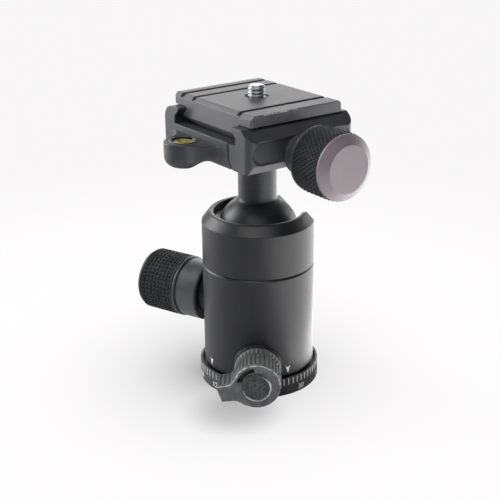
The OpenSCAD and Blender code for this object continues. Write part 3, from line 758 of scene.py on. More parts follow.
def build_dial(sizes):
    """The degree ring, its white lines and numbers, and the index marks on the barrel."""
    ring_r = high("degree_ring", 0)
    top = high("degree_ring", 2)
    lip = ring_r - 1
    profile = soften([(ring_r - 2.1, 0.02), (ring_r, 0.02, 0.5), (ring_r, top, 0.3), (lip, top, 0.15),
                      (lip, top - 2.2), (ring_r - 2.1, top - 2.2)])
    finish(make("dial_ring", lathe(profile, 256, closed=True)), "ring", "base",
           ["degree_ring"])
    line_top = top - 0.3
    line_foot = line_top - sizes.dial_line / MM
    half = 0.13
    lines = []
    for i in range(sizes.dial_lines):
        along = (sizes.dial_turn + 2 * math.pi * i / sizes.dial_lines) * ring_r
        left, right = along - half, along + half
        lines.append(outline_shape([(left, line_foot), (right, line_foot), (right, line_top),
                                    (left, line_top)]))
    finish(on_ring("dial_lines", joined(lines), ring_r), "white", "base")
    digits = []
    for value in range(0, 360, 30):
        turn = (sizes.dial_turn + math.radians(30 - value)) * ring_r
        verts, faces = number_shape(value, sizes.digit_height / MM)
        digits.append(([(x + turn, y + sizes.digit_foot / MM, layer) for x, y, layer in verts], faces))
    finish(on_ring("dial_numbers", joined(digits), ring_r), "white", "base")
    body_r = -low("upper_housing", 0)
    tip, mark_high, mark_half = top + 1.1, 3, 0.95
    marks = []
    for i in range(4):
        along = (sizes.mark_turn + math.pi / 2 * i) * body_r
        marks.append(outline_shape([(along, tip), (along + mark_half, tip + mark_high), (along, tip + 2.35),
                                    (along - mark_half, tip + mark_high)]))
    finish(on_ring("index_marks", joined(marks), body_r), "white", "housing")


def build_ball(sizes):
    """The ball and its stem in one turned piece."""
    centre = height_of("ball_tilt")
    ball_r = high("ball_stem", 0)
    top = high("ball_stem", 2)
    stem_r = sizes.stem_width / MM / 2
    root = math.degrees(math.acos((stem_r + 0.9) / ball_r))
    profile = [(max(x, 0), z) for x, z in arc(ball_r, -90, root, 72, (0, centre))]
    start = profile[-1][1]
    profile += [(stem_r + 0.45, start + 0.25), (stem_r + 0.2, start + 0.55), (stem_r + 0.06, start + 0.95),
                (stem_r, start + 1.5)]
    profile += soften([(stem_r, start + 2), (stem_r, top, 0.6), (0, top)], closed=False)
    finish(make("ball_and_stem", lathe(profile, 192), sharp=60), "ball", "ball",
           ["ball_stem"], flat=False)


def build_lock_knob(sizes):
    """The main lock knob: smooth collar, bead, studded rubber and end ring."""
    angle = compass("lock_knob_turn")
    place = radial(angle, height_of("lock_knob_turn"))
    near = span("lock_knob_core", angle)[0]
    start, end = span("lock_knob_grip", angle)
    tip = span("lock_knob_cap", angle)[1]
    grip_r = high("lock_knob_grip", 2) - height_of("lock_knob_turn")
    r = grip_r - 0.5
    core = soften([(5, near + 2.2), (r - 2.4, near + 2.2), (r - 1.7, near, 0.3), (r, near, 0.7),
                   (r, start - 1.9, 0.2), (r - 0.7, start - 1.6), (r - 0.7, start - 1.15),
                   (r + 0.45, start - 1.0, 0.35), (r + 0.45, start - 0.1, 0.35), (r - 1, start)], closed=False)
    finish(make("lock_collar", lathe(core, 160), place), "collar", "lock_knob",
           ["lock_knob_core"])
    rows, rings = sizes.stud_rows, sizes.stud_rings
    depth = sizes.stud_depth / MM
    margin = 1.1
    studded = end - start - 2 * margin
    bare = sizes.bare_strip / MM / 2

    def studs(radius, z, turn):
        if radius < grip_r - 0.01:
            return radius
        along = (z - start - margin) / studded
        if not 0 <= along <= 1:
            return radius - depth * 0.15
        around = (turn / (2 * math.pi) * rows) % 1
        block = min(wave(around), wave(along * rings))
        height = soft_run((block - 0.3) / 0.3)
        from_strip = turn % (2 * math.pi) - math.pi
        if abs(from_strip * radius) < bare:
            height = 0.8
        return radius - depth * (1 - height)

    lines = 10 * rings
    wall = [(grip_r - 1, start), (grip_r - 0.3, start)]
    wall += [(grip_r, start + 0.3 + (end - start - 0.9) * k / lines) for k in range(lines + 1)]
    wall += soften([(grip_r, end - 0.55), (grip_r - 0.05, end - 0.3, 0.3), (grip_r - 0.8, end, 0.3),
                    (grip_r - 2, end)], closed=False)
    finish(make("lock_grip", lathe(wall, 12 * rows, shape=studs), place, sharp=75), "rubber", "lock_knob",
           ["lock_knob_grip"], flat=False)
    cap = soften([(grip_r - 1.2, end - 0.3), (grip_r - 0.7, end - 0.3), (grip_r - 0.7, tip, 0.5),
                  (grip_r - 2.4, tip, 0.4), (grip_r - 2.8, tip - 0.6, 0.2), (0, tip - 0.6)], closed=False)
    finish(make("lock_end", lathe(cap, 160), place), "collar", "lock_knob",
           ["lock_knob_cap"])


def lever_outline(radius, reach):
    """Outline of the pan lever seen from outside, with its wing to the left."""
    wing = [(-1.06 * radius, 0.12 * radius, 2.2), (-reach, 0.0, 0.7), (-reach + 2, -0.71 * radius, 0.8),
            (-0.82 * radius, -0.655 * radius, 3.5)]
    return soften(arc(radius, -120, 142, 96) + wing, steps=8)


def build_pan_lever(sizes):
    """The pan lever: ribbed wall, wing, smooth front face with a pocket, and a worn disc."""
    angle = compass("pan_knob_turn")
    centre = height_of("pan_knob_turn")
    place = radial(angle, centre)
    back, front = span("pan_lever", angle)
    radius = high("pan_lever", 2) - centre
    reach = sizes.wing_reach / MM
    wing_back = back + 4.5
    lip = sizes.lever_lip / MM
    outline = dense(lever_outline(radius, reach), 0.14)
    count = len(outline)
    lengths = [0.0]
    for a, b in zip(outline, outline[1:]):
        lengths.append(lengths[-1] + math.dist(a, b))
    pitch = 2 * math.pi * radius / sizes.lever_ribs
    normals = []
    for i in range(count):
        tangent = Vector(outline[(i + 1) % count]) - Vector(outline[i - 1])
        tangent.normalize()
        normals.append((tangent.y, -tangent.x))
    blocks = sizes.rib_blocks
    rib_start, rib_end = wing_back + 0.3, front - lip

    def ribbed(i, d):
        x, y = outline[i]
        smooth_side = y < -0.06 * radius and x < -0.45 * radius
        inside = soft_run((d - rib_start) / 0.4) * soft_run((rib_end - d) / 0.4)
        if smooth_side or inside <= 0:
            return 0.55 * sizes.rib_depth / MM * (0 if smooth_side else 1 - inside)
        block = min(wave(lengths[i] / pitch), wave((d - rib_start) / (rib_end - rib_start) * blocks) * 1.6)
        return sizes.rib_depth / MM * (1 - soft_run((block - 0.25) / 0.4)) * inside

    edge = 0.45
    steps = 9 * blocks
    stations = [(inset, wing_back + rise) for inset, rise in round_over(edge, 3)]
    stations += [(0, wing_back + edge + (front - 2 * edge - wing_back) * k / steps) for k in range(1, steps + 1)]
    stations += [(inset, front - rise) for inset, rise in round_over(edge, 5)[-2::-1]]
    sections = []
    for inset, d in stations:
        sections.append([(p[0] - n[0] * (inset + ribbed(i, d)), p[1] - n[1] * (inset + ribbed(i, d)), d)
                         for i, (p, n) in enumerate(zip(outline, normals))])
    obj = make("pan_lever_arm", loft(sections), place, sharp=60)
    disc_r = sizes.disc_width / MM / 2
    pocket = arc(radius - 1.3, 98, 168, 14) + arc(disc_r + 0.15, 168, 98, 10)
    carve(obj, make("pocket", slab(pocket, front - 2.4, front + 2, 0.001, 1), place))
    smooth(obj, 50)
    finish(obj, "lever", "pan_knob", ["pan_lever"])

    def hub_ribs(r, d, turn):
        if r < radius - 0.2 or d < back + 1.2:
            return r
        return r - 0.45 * (1 - soft_run((wave(turn / (2 * math.pi) * sizes.lever_ribs) - 0.2) / 0.5))

    profile = [(0, back), (radius - 0.6, back), (radius - 0.25, back + 0.15)]
    profile += [(radius - 0.1, back + 0.5 + 4 * k / 12) for k in range(13)]
    finish(make("pan_lever_hub", lathe(profile, 8 * sizes.lever_ribs, shape=hub_ribs), place, sharp=60),
           "lever", "pan_knob", ["pan_lever"])
    proud = sizes.disc_proud / MM
    disc = soften([(disc_r, front - 1), (disc_r, front + proud, 0.35), (disc_r - 0.9, front + proud, 0.2),
                   (disc_r - 1.1, front + proud - 0.2, 0.1), (0, front + proud - 0.2)], closed=False)
    finish(make("lever_disc", lathe(disc, 96), place), "disc", "pan_knob", ["pan_badge"])


def clamp_levels():
    """Heights and reaches of the clamp, in millimetres."""
    return {
        "foot": low("moving_jaw", 2), "top": high("clamp_body", 2), "half": high("clamp_body", 0),
        "back": high("clamp_body", 1), "front": -low("moving_jaw", 1), "floor": high("clamp_bolt", 2) + 0.4,
        "split": -high("moving_jaw", 1) - 0.3,
    }


# The dovetail of plate and channel, in millimetres: half its width, its slope, and the play between them.
DOVETAIL_HALF = 19.05
DOVETAIL_SLOPE = 2.6
DOVETAIL_PLAY = 0.1


def jaw_lip(c, side):
    """Channel side and dovetail lip, as [distance to the knob side, height]."""
    half = DOVETAIL_HALF + DOVETAIL_PLAY
    neck = half - DOVETAIL_SLOPE
    knee = c["floor"] + 2.7
    return [(side * half, c["floor"]), (side * half, knee, 0.15), (side * neck, knee + DOVETAIL_SLOPE, 0.15),
            (side * neck, c["top"], 0.25)]


def level_cup():
    """Middle and radius of the level's cup seen from above, in millimetres."""
    x, y = ((low("level_cup", axis) + high("level_cup", axis)) / 2 for axis in (0, 1))
    return x, y, high("level_cup", 0) - x


def build_clamp_block(c):
    """The clamp body with its fixed jaw and channel; c holds its levels."""
    edge = 0.25
    profile = soften([(-c["back"], c["foot"], 1.2), (c["split"] + 2.1, c["foot"], 0.4),
                      (c["split"] - 0.15, c["foot"] + 3.6, 3), (c["split"] - 0.15, c["floor"], 0.3)]
                     + jaw_lip(c, -1) + [(-c["back"], c["top"], 4.6)], steps=6)
    profile = dense(profile, 1.2)
    body = make("clamp_block", slab(profile, -c["half"], c["half"], edge), channel_frame())
    bolt_r, sunk = 5.3, c["floor"] - 4.6
    hole = [(0, sunk), (bolt_r, sunk), (bolt_r, c["floor"] + 2), (0, c["floor"] + 2)]
    carve(body, make("bolt_hole", lathe(hole, 64)))
    smooth(body)
    finish(body, "clamp", "clamp", ["clamp_body"])


def build_level_lug(c, sizes):
    """The lug for the level, blended into the clamp's end with hollow fillets."""
    lx, ly, cup_r = level_cup()
    top = high("level_cup", 2) - 0.1
    hole_r = cup_r + 0.25
    lug_r, fillet = hole_r + 1.75, sizes.lug_fillet / MM
    end_x = -c["half"]
    along = end_x - fillet - lx
    across = math.sqrt((lug_r + fillet) ** 2 - along ** 2)
    lean = math.degrees(math.atan2(-across, -along))

    def section(inset, z, drop):
        blend = arc(fillet + inset, lean, 0, 14, (end_x - fillet, ly + across))
        round_part = arc(lug_r - inset, lean + 180, 180, 16, (lx, ly))
        half = [(end_x + 0.6, ly + across + 0.2)] + blend[::-1] + round_part[1:]
        full = half + [(x, 2 * ly - y) for x, y in reversed(half[:-1])]
        points = []
        for x, y in full:
            rise = soft_run((x - lx + 1) / (end_x - lx))
            points.append((min(x, end_x + 0.6), y, z - drop * (1 - rise) + 0.12 * rise * (drop > 0)))
        return points

    belly = sizes.lug_round / MM
    hang = sizes.lug_hang / MM
    stations = [(inset, c["foot"] + rise, hang * (1 - k / 16))
                for k, (inset, rise) in enumerate(round_over(belly, 8))]
    stations += [(0, top - 0.5, 0), (0.12, top - 0.2, 0), (0.4, top, 0)]
    lug = make("level_lug", loft([section(*s) for s in stations]))
    hole = [(0, top - 4.8), (hole_r, top - 4.8), (hole_r, top + 2), (0, top + 2)]
    carve(lug, make("cup_hole", lathe(hole, 96), Matrix.Translation((lx, ly, 0))))
    smooth(lug, 50)
    finish(lug, "clamp", "clamp", ["clamp_body"])


def build_moving_jaw(c, sizes):
    """The moving jaw: rounded ends, a slit that bends at its foot, and a shallow recess in front."""
    edge = 0.25
    front, corner = c["front"], 3.0
    back = c["split"] + 0.45
    profile = soften([(c["split"] + 2.75, c["foot"], 0.3), (front - 1.5, c["foot"], 0.4),
                      (front, c["foot"] + 3.0, 0.4), (front, c["top"] - 3.8, 0.6), (front - 4.5, c["top"], 0.6)]
                     + list(reversed(jaw_lip(c, 1)))
                     + [(back, c["floor"], 0.2), (back, c["foot"] + 3.8, 3)], steps=5)
    profile = dense(profile, 0.3)
    recess_z = c["foot"] + 7.0
    recess_r = 4.0
    half = c["half"]
    recess_half = half - 6

    def station(x):
        into_edge = max(0, abs(x) - half + edge)
        into_corner = max(0, abs(x) - half + corner)
        inset = edge - math.sqrt(max(0, edge ** 2 - into_edge ** 2))
        limit = front - corner + math.sqrt(max(0, corner ** 2 - into_corner ** 2))
        points = []
        for b, z in profile:
            far = math.hypot(max(abs(x) - recess_half, 0), z - recess_z) - recess_r
            dip = sizes.recess_depth / MM * soft_run(0.5 - far / 0.6) if b > front - 1 else 0
            b = min(b, limit) - dip
            z = min(max(z, c["foot"] + inset), c["top"] - inset)
            points.append((x, -max(b, back + inset), z))
        return points

    near = [half - corner + corner * math.sin(math.pi / 2 * k / 14) for k in range(15)]
    near[-1] = half - 0.001
    middle = [-(half - corner) + 2 * (half - corner) * k / 130 for k in range(1, 130)]
    xs = [-x for x in reversed(near)] + middle + near
    obj = make("moving_jaw_block", loft([station(x) for x in xs]), sharp=40)
    finish(obj, "jaw", "jaw", ["moving_jaw"])


def build_clamp(sizes):
    """The clamp body with its level lug, and the moving jaw."""
    levels = clamp_levels()
    build_clamp_block(levels)
    build_level_lug(levels, sizes)
    build_moving_jaw(levels, sizes)


def build_level():
    """The bullseye level: black cup, tinted liquid with a bubble, and a clear window."""
    lx, ly, cup_r = level_cup()
    place = Matrix.Translation((lx, ly, 0))
    top = high("level_cup", 2)
    outer = cup_r + 0.23
    r = high("level_liquid", 0) - lx
    cup = soften([(outer, top - 4), (outer, top, 0.25), (r + 0.1, top, 0.25), (r - 0.05, top - 0.5, 0.1),
                  (r - 0.05, top - 4)])
    finish(make("level_bezel", lathe(cup, 128, closed=True), place), "bezel", "clamp",
           ["level_cup"])
    fluid = [(0, top - 1.3), (r - 0.02, top - 1.3), (r - 0.02, top - 4), (0, top - 4)]
    finish(make("level_fluid", lathe(fluid, 96), place), "fluid", "clamp", ["level_liquid"])
    dome = [(max(x, 0), top - 1.28 + z * 0.35) for x, z in arc(1.35, 0, 90, 10)]
    finish(make("level_bubble", lathe(dome, 48), Matrix.Translation((lx + 0.5, ly + 0.3, 0))), "bubble",
           "clamp", ["level_liquid"], flat=False)
    crown = [math.pi / 2 * k / 10 for k in range(1, 11)]
    lens = [(r, top - 1.1), (r, top - 0.55)]
    lens += [(r * math.cos(t), top - 0.55 + 0.4 * math.sin(t)) for t in crown]
    finish(make("level_window", lathe(lens, 96), place), "window", "clamp", ["level_lens"],
           flat=False)


def build_clamp_knob(sizes):
    """The clamp knob: thin flange, diamond-cut grip and bevelled grey cap."""
    angle = compass("clamp_knob_turn")
    centre = height_of("clamp_knob_turn")
    place = radial(angle, centre)
    near = span("clamp_knob_core", angle)[0]
    start, end = span("clamp_knob_grip", angle)
    tip = span("clamp_knob_cap", angle)[1]
    grip_r = high("clamp_knob_grip", 2) - centre
    neck_r, rim_r = 7.5, grip_r - 0.35
    flange = soften([(0, near), (neck_r, near), (neck_r, start - 0.9), (rim_r, start - 0.9, 0.25),
                     (rim_r, start, 0.2), (grip_r - 2, start)], closed=False)
    finish(make("knob_flange", lathe(flange, 128), place), "flange", "clamp_knob",
           ["clamp_knob_core"])
    count = sizes.knurl_count
    depth = sizes.knurl_depth / MM
    lead = 2 * math.pi * grip_r / count / math.tan(sizes.knurl_slope)

    def knurl(radius, z, turn):
        if radius < grip_r - 0.01:
            return radius
        a = turn / (2 * math.pi) * count + (z - start) / lead
        b = turn / (2 * math.pi) * count - (z - start) / lead
        height = soft_run((min(wave(a), wave(b)) - 0.12) / 0.55)
        ends = soft_run((z - start) / 0.5) * soft_run((end - z) / 0.5)
        return radius - depth * (1 - height * ends)

    rows = sizes.knurl_rows
    wall = [(grip_r - 1, start + 0.02)] + [(grip_r, start + 0.02 + (end - start - 0.04) * k / rows)
                                           for k in range(rows + 1)] + [(grip_r - 1, end - 0.02)]
    finish(make("knob_grip", lathe(wall, 11 * count, shape=knurl), place, sharp=80), "rubber",
           "clamp_knob", ["clamp_knob_grip"], flat=False)
    cap = soften([(rim_r - 1, end), (rim_r, end, 0.2), (rim_r, end + 0.9, 0.35), (rim_r - 3.2, tip, 0.35),
                  (0, tip)], closed=False)
    finish(make("knob_cap", lathe(cap, 160), place), "cap", "clamp_knob", ["clamp_knob_cap"])


def build_plate(sizes):
    """The quick plate: dovetail foot, flange with bevelled ends, and grooves across its top."""
    z0, z1 = low("quick_plate", 2), high("quick_plate", 2)
    w, half = high("quick_plate", 1), high("quick_plate", 0)
    under = z1 - sizes.plate_flange / MM
    tail, knee = DOVETAIL_HALF, z0 + 2.5
    neck, neck_foot = tail - DOVETAIL_SLOPE, knee + DOVETAIL_SLOPE
    d = sizes.groove_depth / MM
    bevel, foot_bevel = sizes.plate_bevel / MM, sizes.plate_foot_bevel / MM
    corner, edge = 0.8, 0.12

    def groove(a, b):
        return [(b, z1, 0.2), (b, z1 - d, 0.12), (a, z1 - d, 0.12), (a, z1, 0.2)]

    profile = [(-tail, z0, 0.3), (tail, z0, 0.3), (tail, knee, 0.3), (neck, neck_foot, 0.1), (neck, under),
               (w, under, 0.35), (w, z1, 0.35)]
    profile += groove(w - 8.7, w - 6.6) + groove(-w + 11.1, -w + 12.9) + groove(-w + 3.6, -w + 5.6)
    profile += [(-w, z1, 0.35), (-w, under, 0.35), (-neck, under), (-neck, neck_foot, 0.1),
                (-tail, knee, 0.3)]
    outline = dense(soften(profile), 1.5)

    def station(x):
        near_end = abs(x) - half
        round_off = edge - math.sqrt(max(0, edge ** 2 - max(0, near_end + edge) ** 2))
        top = z1 - bend(near_end + bevel, 0.2) - round_off
        foot = z0 + 1.4 * bend(near_end + foot_bevel, 0.2) + round_off
        side = w - corner + math.sqrt(max(0, corner ** 2 - max(0, near_end + corner) ** 2))
        return [(x, -max(-side, min(b, side)), min(max(z, foot), top)) for b, z in outline]

    ends = sorted({half - v for v in [0, 0.01, 0.03, 0.06, 0.09, 0.12, 0.2, 0.3, 0.4, 0.5, 0.65, 0.8, 1.0]
                   + [bevel + v for v in (-0.2, -0.1, 0, 0.1, 0.2)]
                   + [foot_bevel + v for v in (-0.2, -0.1, 0, 0.1, 0.2)]})
    xs = [-x for x in reversed(ends)] + ends
    obj = make("plate_block", loft([station(x) for x in xs]))
    hole_r, head_r, head_room = 3.33, 7.6, 4.4
    hole = [(0, z0 - 1), (head_r, z0 - 1), (head_r, z0 + head_room), (hole_r, z0 + head_room),
            (hole_r, z1 - 0.6), (4.3, z1 - 0.6), (4.5, z1 + 1), (0, z1 + 1)]
    carve(obj, make("screw_hole", lathe(hole, 96)))
    smooth(obj)
    finish(obj, "plate", "plate", ["quick_plate"])


def build_camera_screw():
    """The camera screw: flat head, plain neck and a helical thread."""
    z0, top = low("camera_screw", 2), high("camera_screw", 2)
    plate = high("quick_plate", 2)
    r = 3.175
    pitch, depth = 1.27, 0.6
    root = plate - 1.2
    lead = 0.75
    segments, rows = 96, 84
    verts = []
    for k in range(rows + 1):
        z = root + (top - root) * k / rows
        taper = soft_run((top - z) / lead) if z > top - lead else 1.0
        start = soft_run((z - root) / 0.8)
        for i in range(segments):
            turn = 2 * math.pi * i / segments
            profile = soft_run((wave(z / pitch - i / segments) - 0.1) / 0.75)
            reach = r - depth * (1 - profile) * start
            reach = min(reach, r - 0.85 * (1 - taper)) if taper < 1 else reach
            verts.append((reach * math.cos(turn), reach * math.sin(turn), z))
    faces = grid_faces(rows + 1, segments, False, True)
    faces.append(tuple(range(rows * segments, (rows + 1) * segments)))
    head_r, neck_r, head_top = 7, 2.4, z0 + 2.6
    head = soften([(0, z0), (head_r, z0, 0.4), (head_r, head_top, 0.3), (neck_r, head_top), (neck_r, root),
                   (r, root)], closed=False)
    obj = make("mount_screw", joined([(verts, faces), lathe(head, 96)]), sharp=50)
    finish(obj, "zinc", "camera_screw", ["camera_screw"])


def finish_hidden():
    """Gives each CAD piece that still shows its own finish."""
    looks = {"black_metal": "barrel", "steel": "steel", "dark_steel": "dark_steel", "bronze": "brass",
             "white_plastic": "white_nylon", "black_plastic": "nylon", "ball_black": "ball",
             "rubber": "rubber", "lever_black": "lever", "clamp_grey": "clamp", "level_green": "fluid",
             "level_clear": "window", "cap_grey": "cap", "plate_grey": "plate", "zinc": "zinc"}
    slots = {s["node"]: s["material_slot"] for s in frame["record"]["subparts"]}
    for name, obj in frame["nodes"].items():
        look = material(looks[slots[name]])
        if obj.material_slots:
            for slot in obj.material_slots:
                slot.material = look
        else:
            obj.data.materials.append(look)


# ---------- stage ----------

# The camera's compass turn, its place in barrel radii, and its yaw, pitch and roll in radians.
VIEW_TURN = math.radians(-35.7)
CAMERA_SPOT = (-0.0592, -18.3354, 9.5536)
CAMERA_AIM = (-0.0047, 0.3706, -0.0116)
PAPER_TINT = (1.0, 0.985, 0.993)


def seen(right, away, up):
    """A place given as right, away and up from the object as the camera sees it, in metres."""
    c, s = math.cos(VIEW_TURN), math.sin(VIEW_TURN)
    return Vector((right * c - away * s, right * s + away * c, up))


def build_camera(stage):
    """The camera, aimed from its own yaw, pitch and roll."""
    data = bpy.data.cameras.new("camera")
    data.lens = stage.lens
    data.sensor_width = 36
    data.clip_start = 0.01
    camera = bpy.data.objects.new("camera", data)
    unit = -low("upper_housing", 0) * MM
    spot = Vector(CAMERA_SPOT) * unit
    yaw, pitch, roll = CAMERA_AIM
    forward = Vector((math.sin(yaw) * math.cos(pitch), math.cos(yaw) * math.cos(pitch), -math.sin(pitch)))
    right = Vector((math.cos(yaw), -math.sin(yaw), 0))
    up = right.cross(forward)
    rolled_right = right * math.cos(roll) + up * math.sin(roll)
    rolled_up = up * math.cos(roll) - right * math.sin(roll)
    place = Matrix((rolled_right, rolled_up, -forward)).transposed().to_4x4()
    place.translation = spot
    camera.matrix_world = Matrix.Rotation(VIEW_TURN, 4, "Z") @ place
    bpy.context.scene.collection.objects.link(camera)
    bpy.context.scene.camera = camera


def softbox(name, place, aim, width, height, power):
    """An area light that looks at a point."""
    data = bpy.data.lights.new(name, "AREA")
    data.shape = "RECTANGLE"
    data.size, data.size_y = width, height
    data.energy = power
    lamp = bpy.data.objects.new(name, data)
    lamp.location = place
    lamp.visible_camera = False
    lamp.rotation_euler = (Vector(aim) - Vector(place)).to_track_quat("-Z", "Y").to_euler()
    bpy.context.scene.collection.objects.link(lamp)
    return lamp


def floor_card(name, right, away, power):
    """A bright card lying on the floor, between two distances to the right and two away."""
    lamp = softbox(name, seen(sum(right) / 2, sum(away) / 2, 0.004), seen(sum(right) / 2, sum(away) / 2, 1),
                   right[1] - right[0], away[1] - away[0], power)
    lamp.rotation_euler = (math.pi, 0, VIEW_TURN)


def build_world(stage):
    """A backdrop that only the camera sees, so that the lamps alone light the object."""
    world = bpy.data.worlds.new("studio")
    bpy.context.scene.world = world
    world.use_nodes = True
    tree = world.node_tree
    path = tree.nodes.new("ShaderNodeLightPath")
    mix = tree.nodes.new("ShaderNodeMix")
    mix.data_type = "FLOAT"
    mix.inputs[2].default_value = stage.room_light
    mix.inputs[3].default_value = stage.backdrop
    tree.links.new(path.outputs["Is Camera Ray"], mix.inputs[0])
    shade = tree.nodes["Background"]
    tree.links.new(mix.outputs[0], shade.inputs["Strength"])
    shade.inputs["Color"].default_value = (*PAPER_TINT, 1)


def floor_finish(stage):
    """White paper: plain for the lamps, and with the soft shades of the object for the camera."""
    g = Graph("floor_paper")
    cloud = g.noise(120, 2.0)
    camera_ray = Pin(g, g.node("ShaderNodeLightPath").outputs["Is Camera Ray"])

    def distance(compass_turn, reach):
        spot = Vector((math.cos(compass_turn), math.sin(compass_turn), 0)) * reach
        return g.put("ShaderNodeVectorMath", {"operation": "DISTANCE"}, {0: g.where, 1: spot}, "Value")

    away = distance(stage.shade_turn, stage.shade_shift)
    around = ((away - 0.012) * (-1 / stage.shade_reach)).exp() * stage.shade_depth
    under_lever = distance(compass("pan_knob_turn") - math.radians(14), stage.shade_front)
    shade = around + (1 - under_lever.ramp(0.004, 0.022)) * 0.3
    paper = [stage.backdrop * c for c in PAPER_TINT]
    bounce = g.blend(cloud, (0.84, 0.84, 0.86), (0.88, 0.88, 0.9))
    direct = g.blend(away.ramp(0.09, 0.3), (0.07, 0.07, 0.07), (0, 0, 0))
    g.set("Base Color", g.blend(camera_ray, bounce, direct))
    g.set("Emission Color", g.blend(camera_ray, (0, 0, 0), g.blend(shade, paper, (0, 0, 0))))
    g.set("Emission Strength", 1.0)
    g.set("Roughness", 0.8)
    g.set("Specular IOR Level", 0.0)
    return g.material


def build_floor(stage):
    """The floor, three metres each way."""
    far = 3.0
    mesh = bpy.data.meshes.new("floor")
    mesh.from_pydata([(-far, -far, 0), (far, -far, 0), (far, far, 0), (-far, far, 0)], [], [(0, 1, 2, 3)])
    mesh.materials.append(floor_finish(stage))
    floor = bpy.data.objects.new("floor", mesh)
    bpy.context.scene.collection.objects.link(floor)


def build_lamps(stage):
    """Softboxes round the object, and bright cards on the floor to its right."""
    middle = (0, 0, 0.06)
    softbox("left_box", seen(-0.8, 0.35, 0.35), middle, 0.4, 0.8, stage.left_power)
    softbox("back_box", seen(0, 1.0, 0.35), middle, 0.9, 0.6, stage.back_power)
    softbox("right_box", seen(0.7, 0.62, 0.16), middle, 0.3, 0.5, stage.right_power)
    softbox("front_box", seen(-0.1, -0.5, 0.9), middle, 0.6, 0.6, stage.front_power)
    for name, right, away, share in (("right_card", (0.2, 0.6), (0, 0.5), 1),
                                     ("right_front_card", (0.05, 0.5), (-0.35, 0), 0.54),
                                     ("right_near_card", (0.035, 0.2), (0, 0.4), 0.24),
                                     ("right_low_card", (0.026, 0.045), (-0.03, 0.08), 0.012)):
        floor_card(name, right, away, stage.card_power * share)


def build_stage(stage):
    """White floor, backdrop, lamps and camera."""
    bpy.context.scene.view_settings.view_transform = "Standard"
    build_world(stage)
    build_floor(stage)
    build_lamps(stage)
    build_camera(stage)


# ---------- settings ----------


def length(label, text, default, least, most):
    """A length property in metres, from millimetres."""
    return FloatProperty(name=label, description=text, default=default * MM, min=least * MM, max=most * MM,
                         subtype="DISTANCE", unit="LENGTH", precision=5)


def turn(label, text, degrees):
    """An angle property, from degrees."""
    return FloatProperty(name=label, description=text, default=math.radians(degrees), min=-2 * math.pi,
                         max=2 * math.pi, subtype="ANGLE", unit="ROTATION")


def tint(label, text, colour):
    """A colour property."""
    return FloatVectorProperty(name=label, description=text, default=colour, min=0, max=1, subtype="COLOR")


def number(label, text, default, least, most):
    """A whole number."""
    return IntProperty(name=label, description=text, default=default, min=least, max=most)


def fraction(label, text, default):
    """A number from 0 to 1."""
    return FloatProperty(name=label, description=text, default=default, min=0, max=1)


def watts(label, text, default):
    """The power of a lamp."""
    return FloatProperty(name=label, description=text, default=default, min=0, unit="POWER")


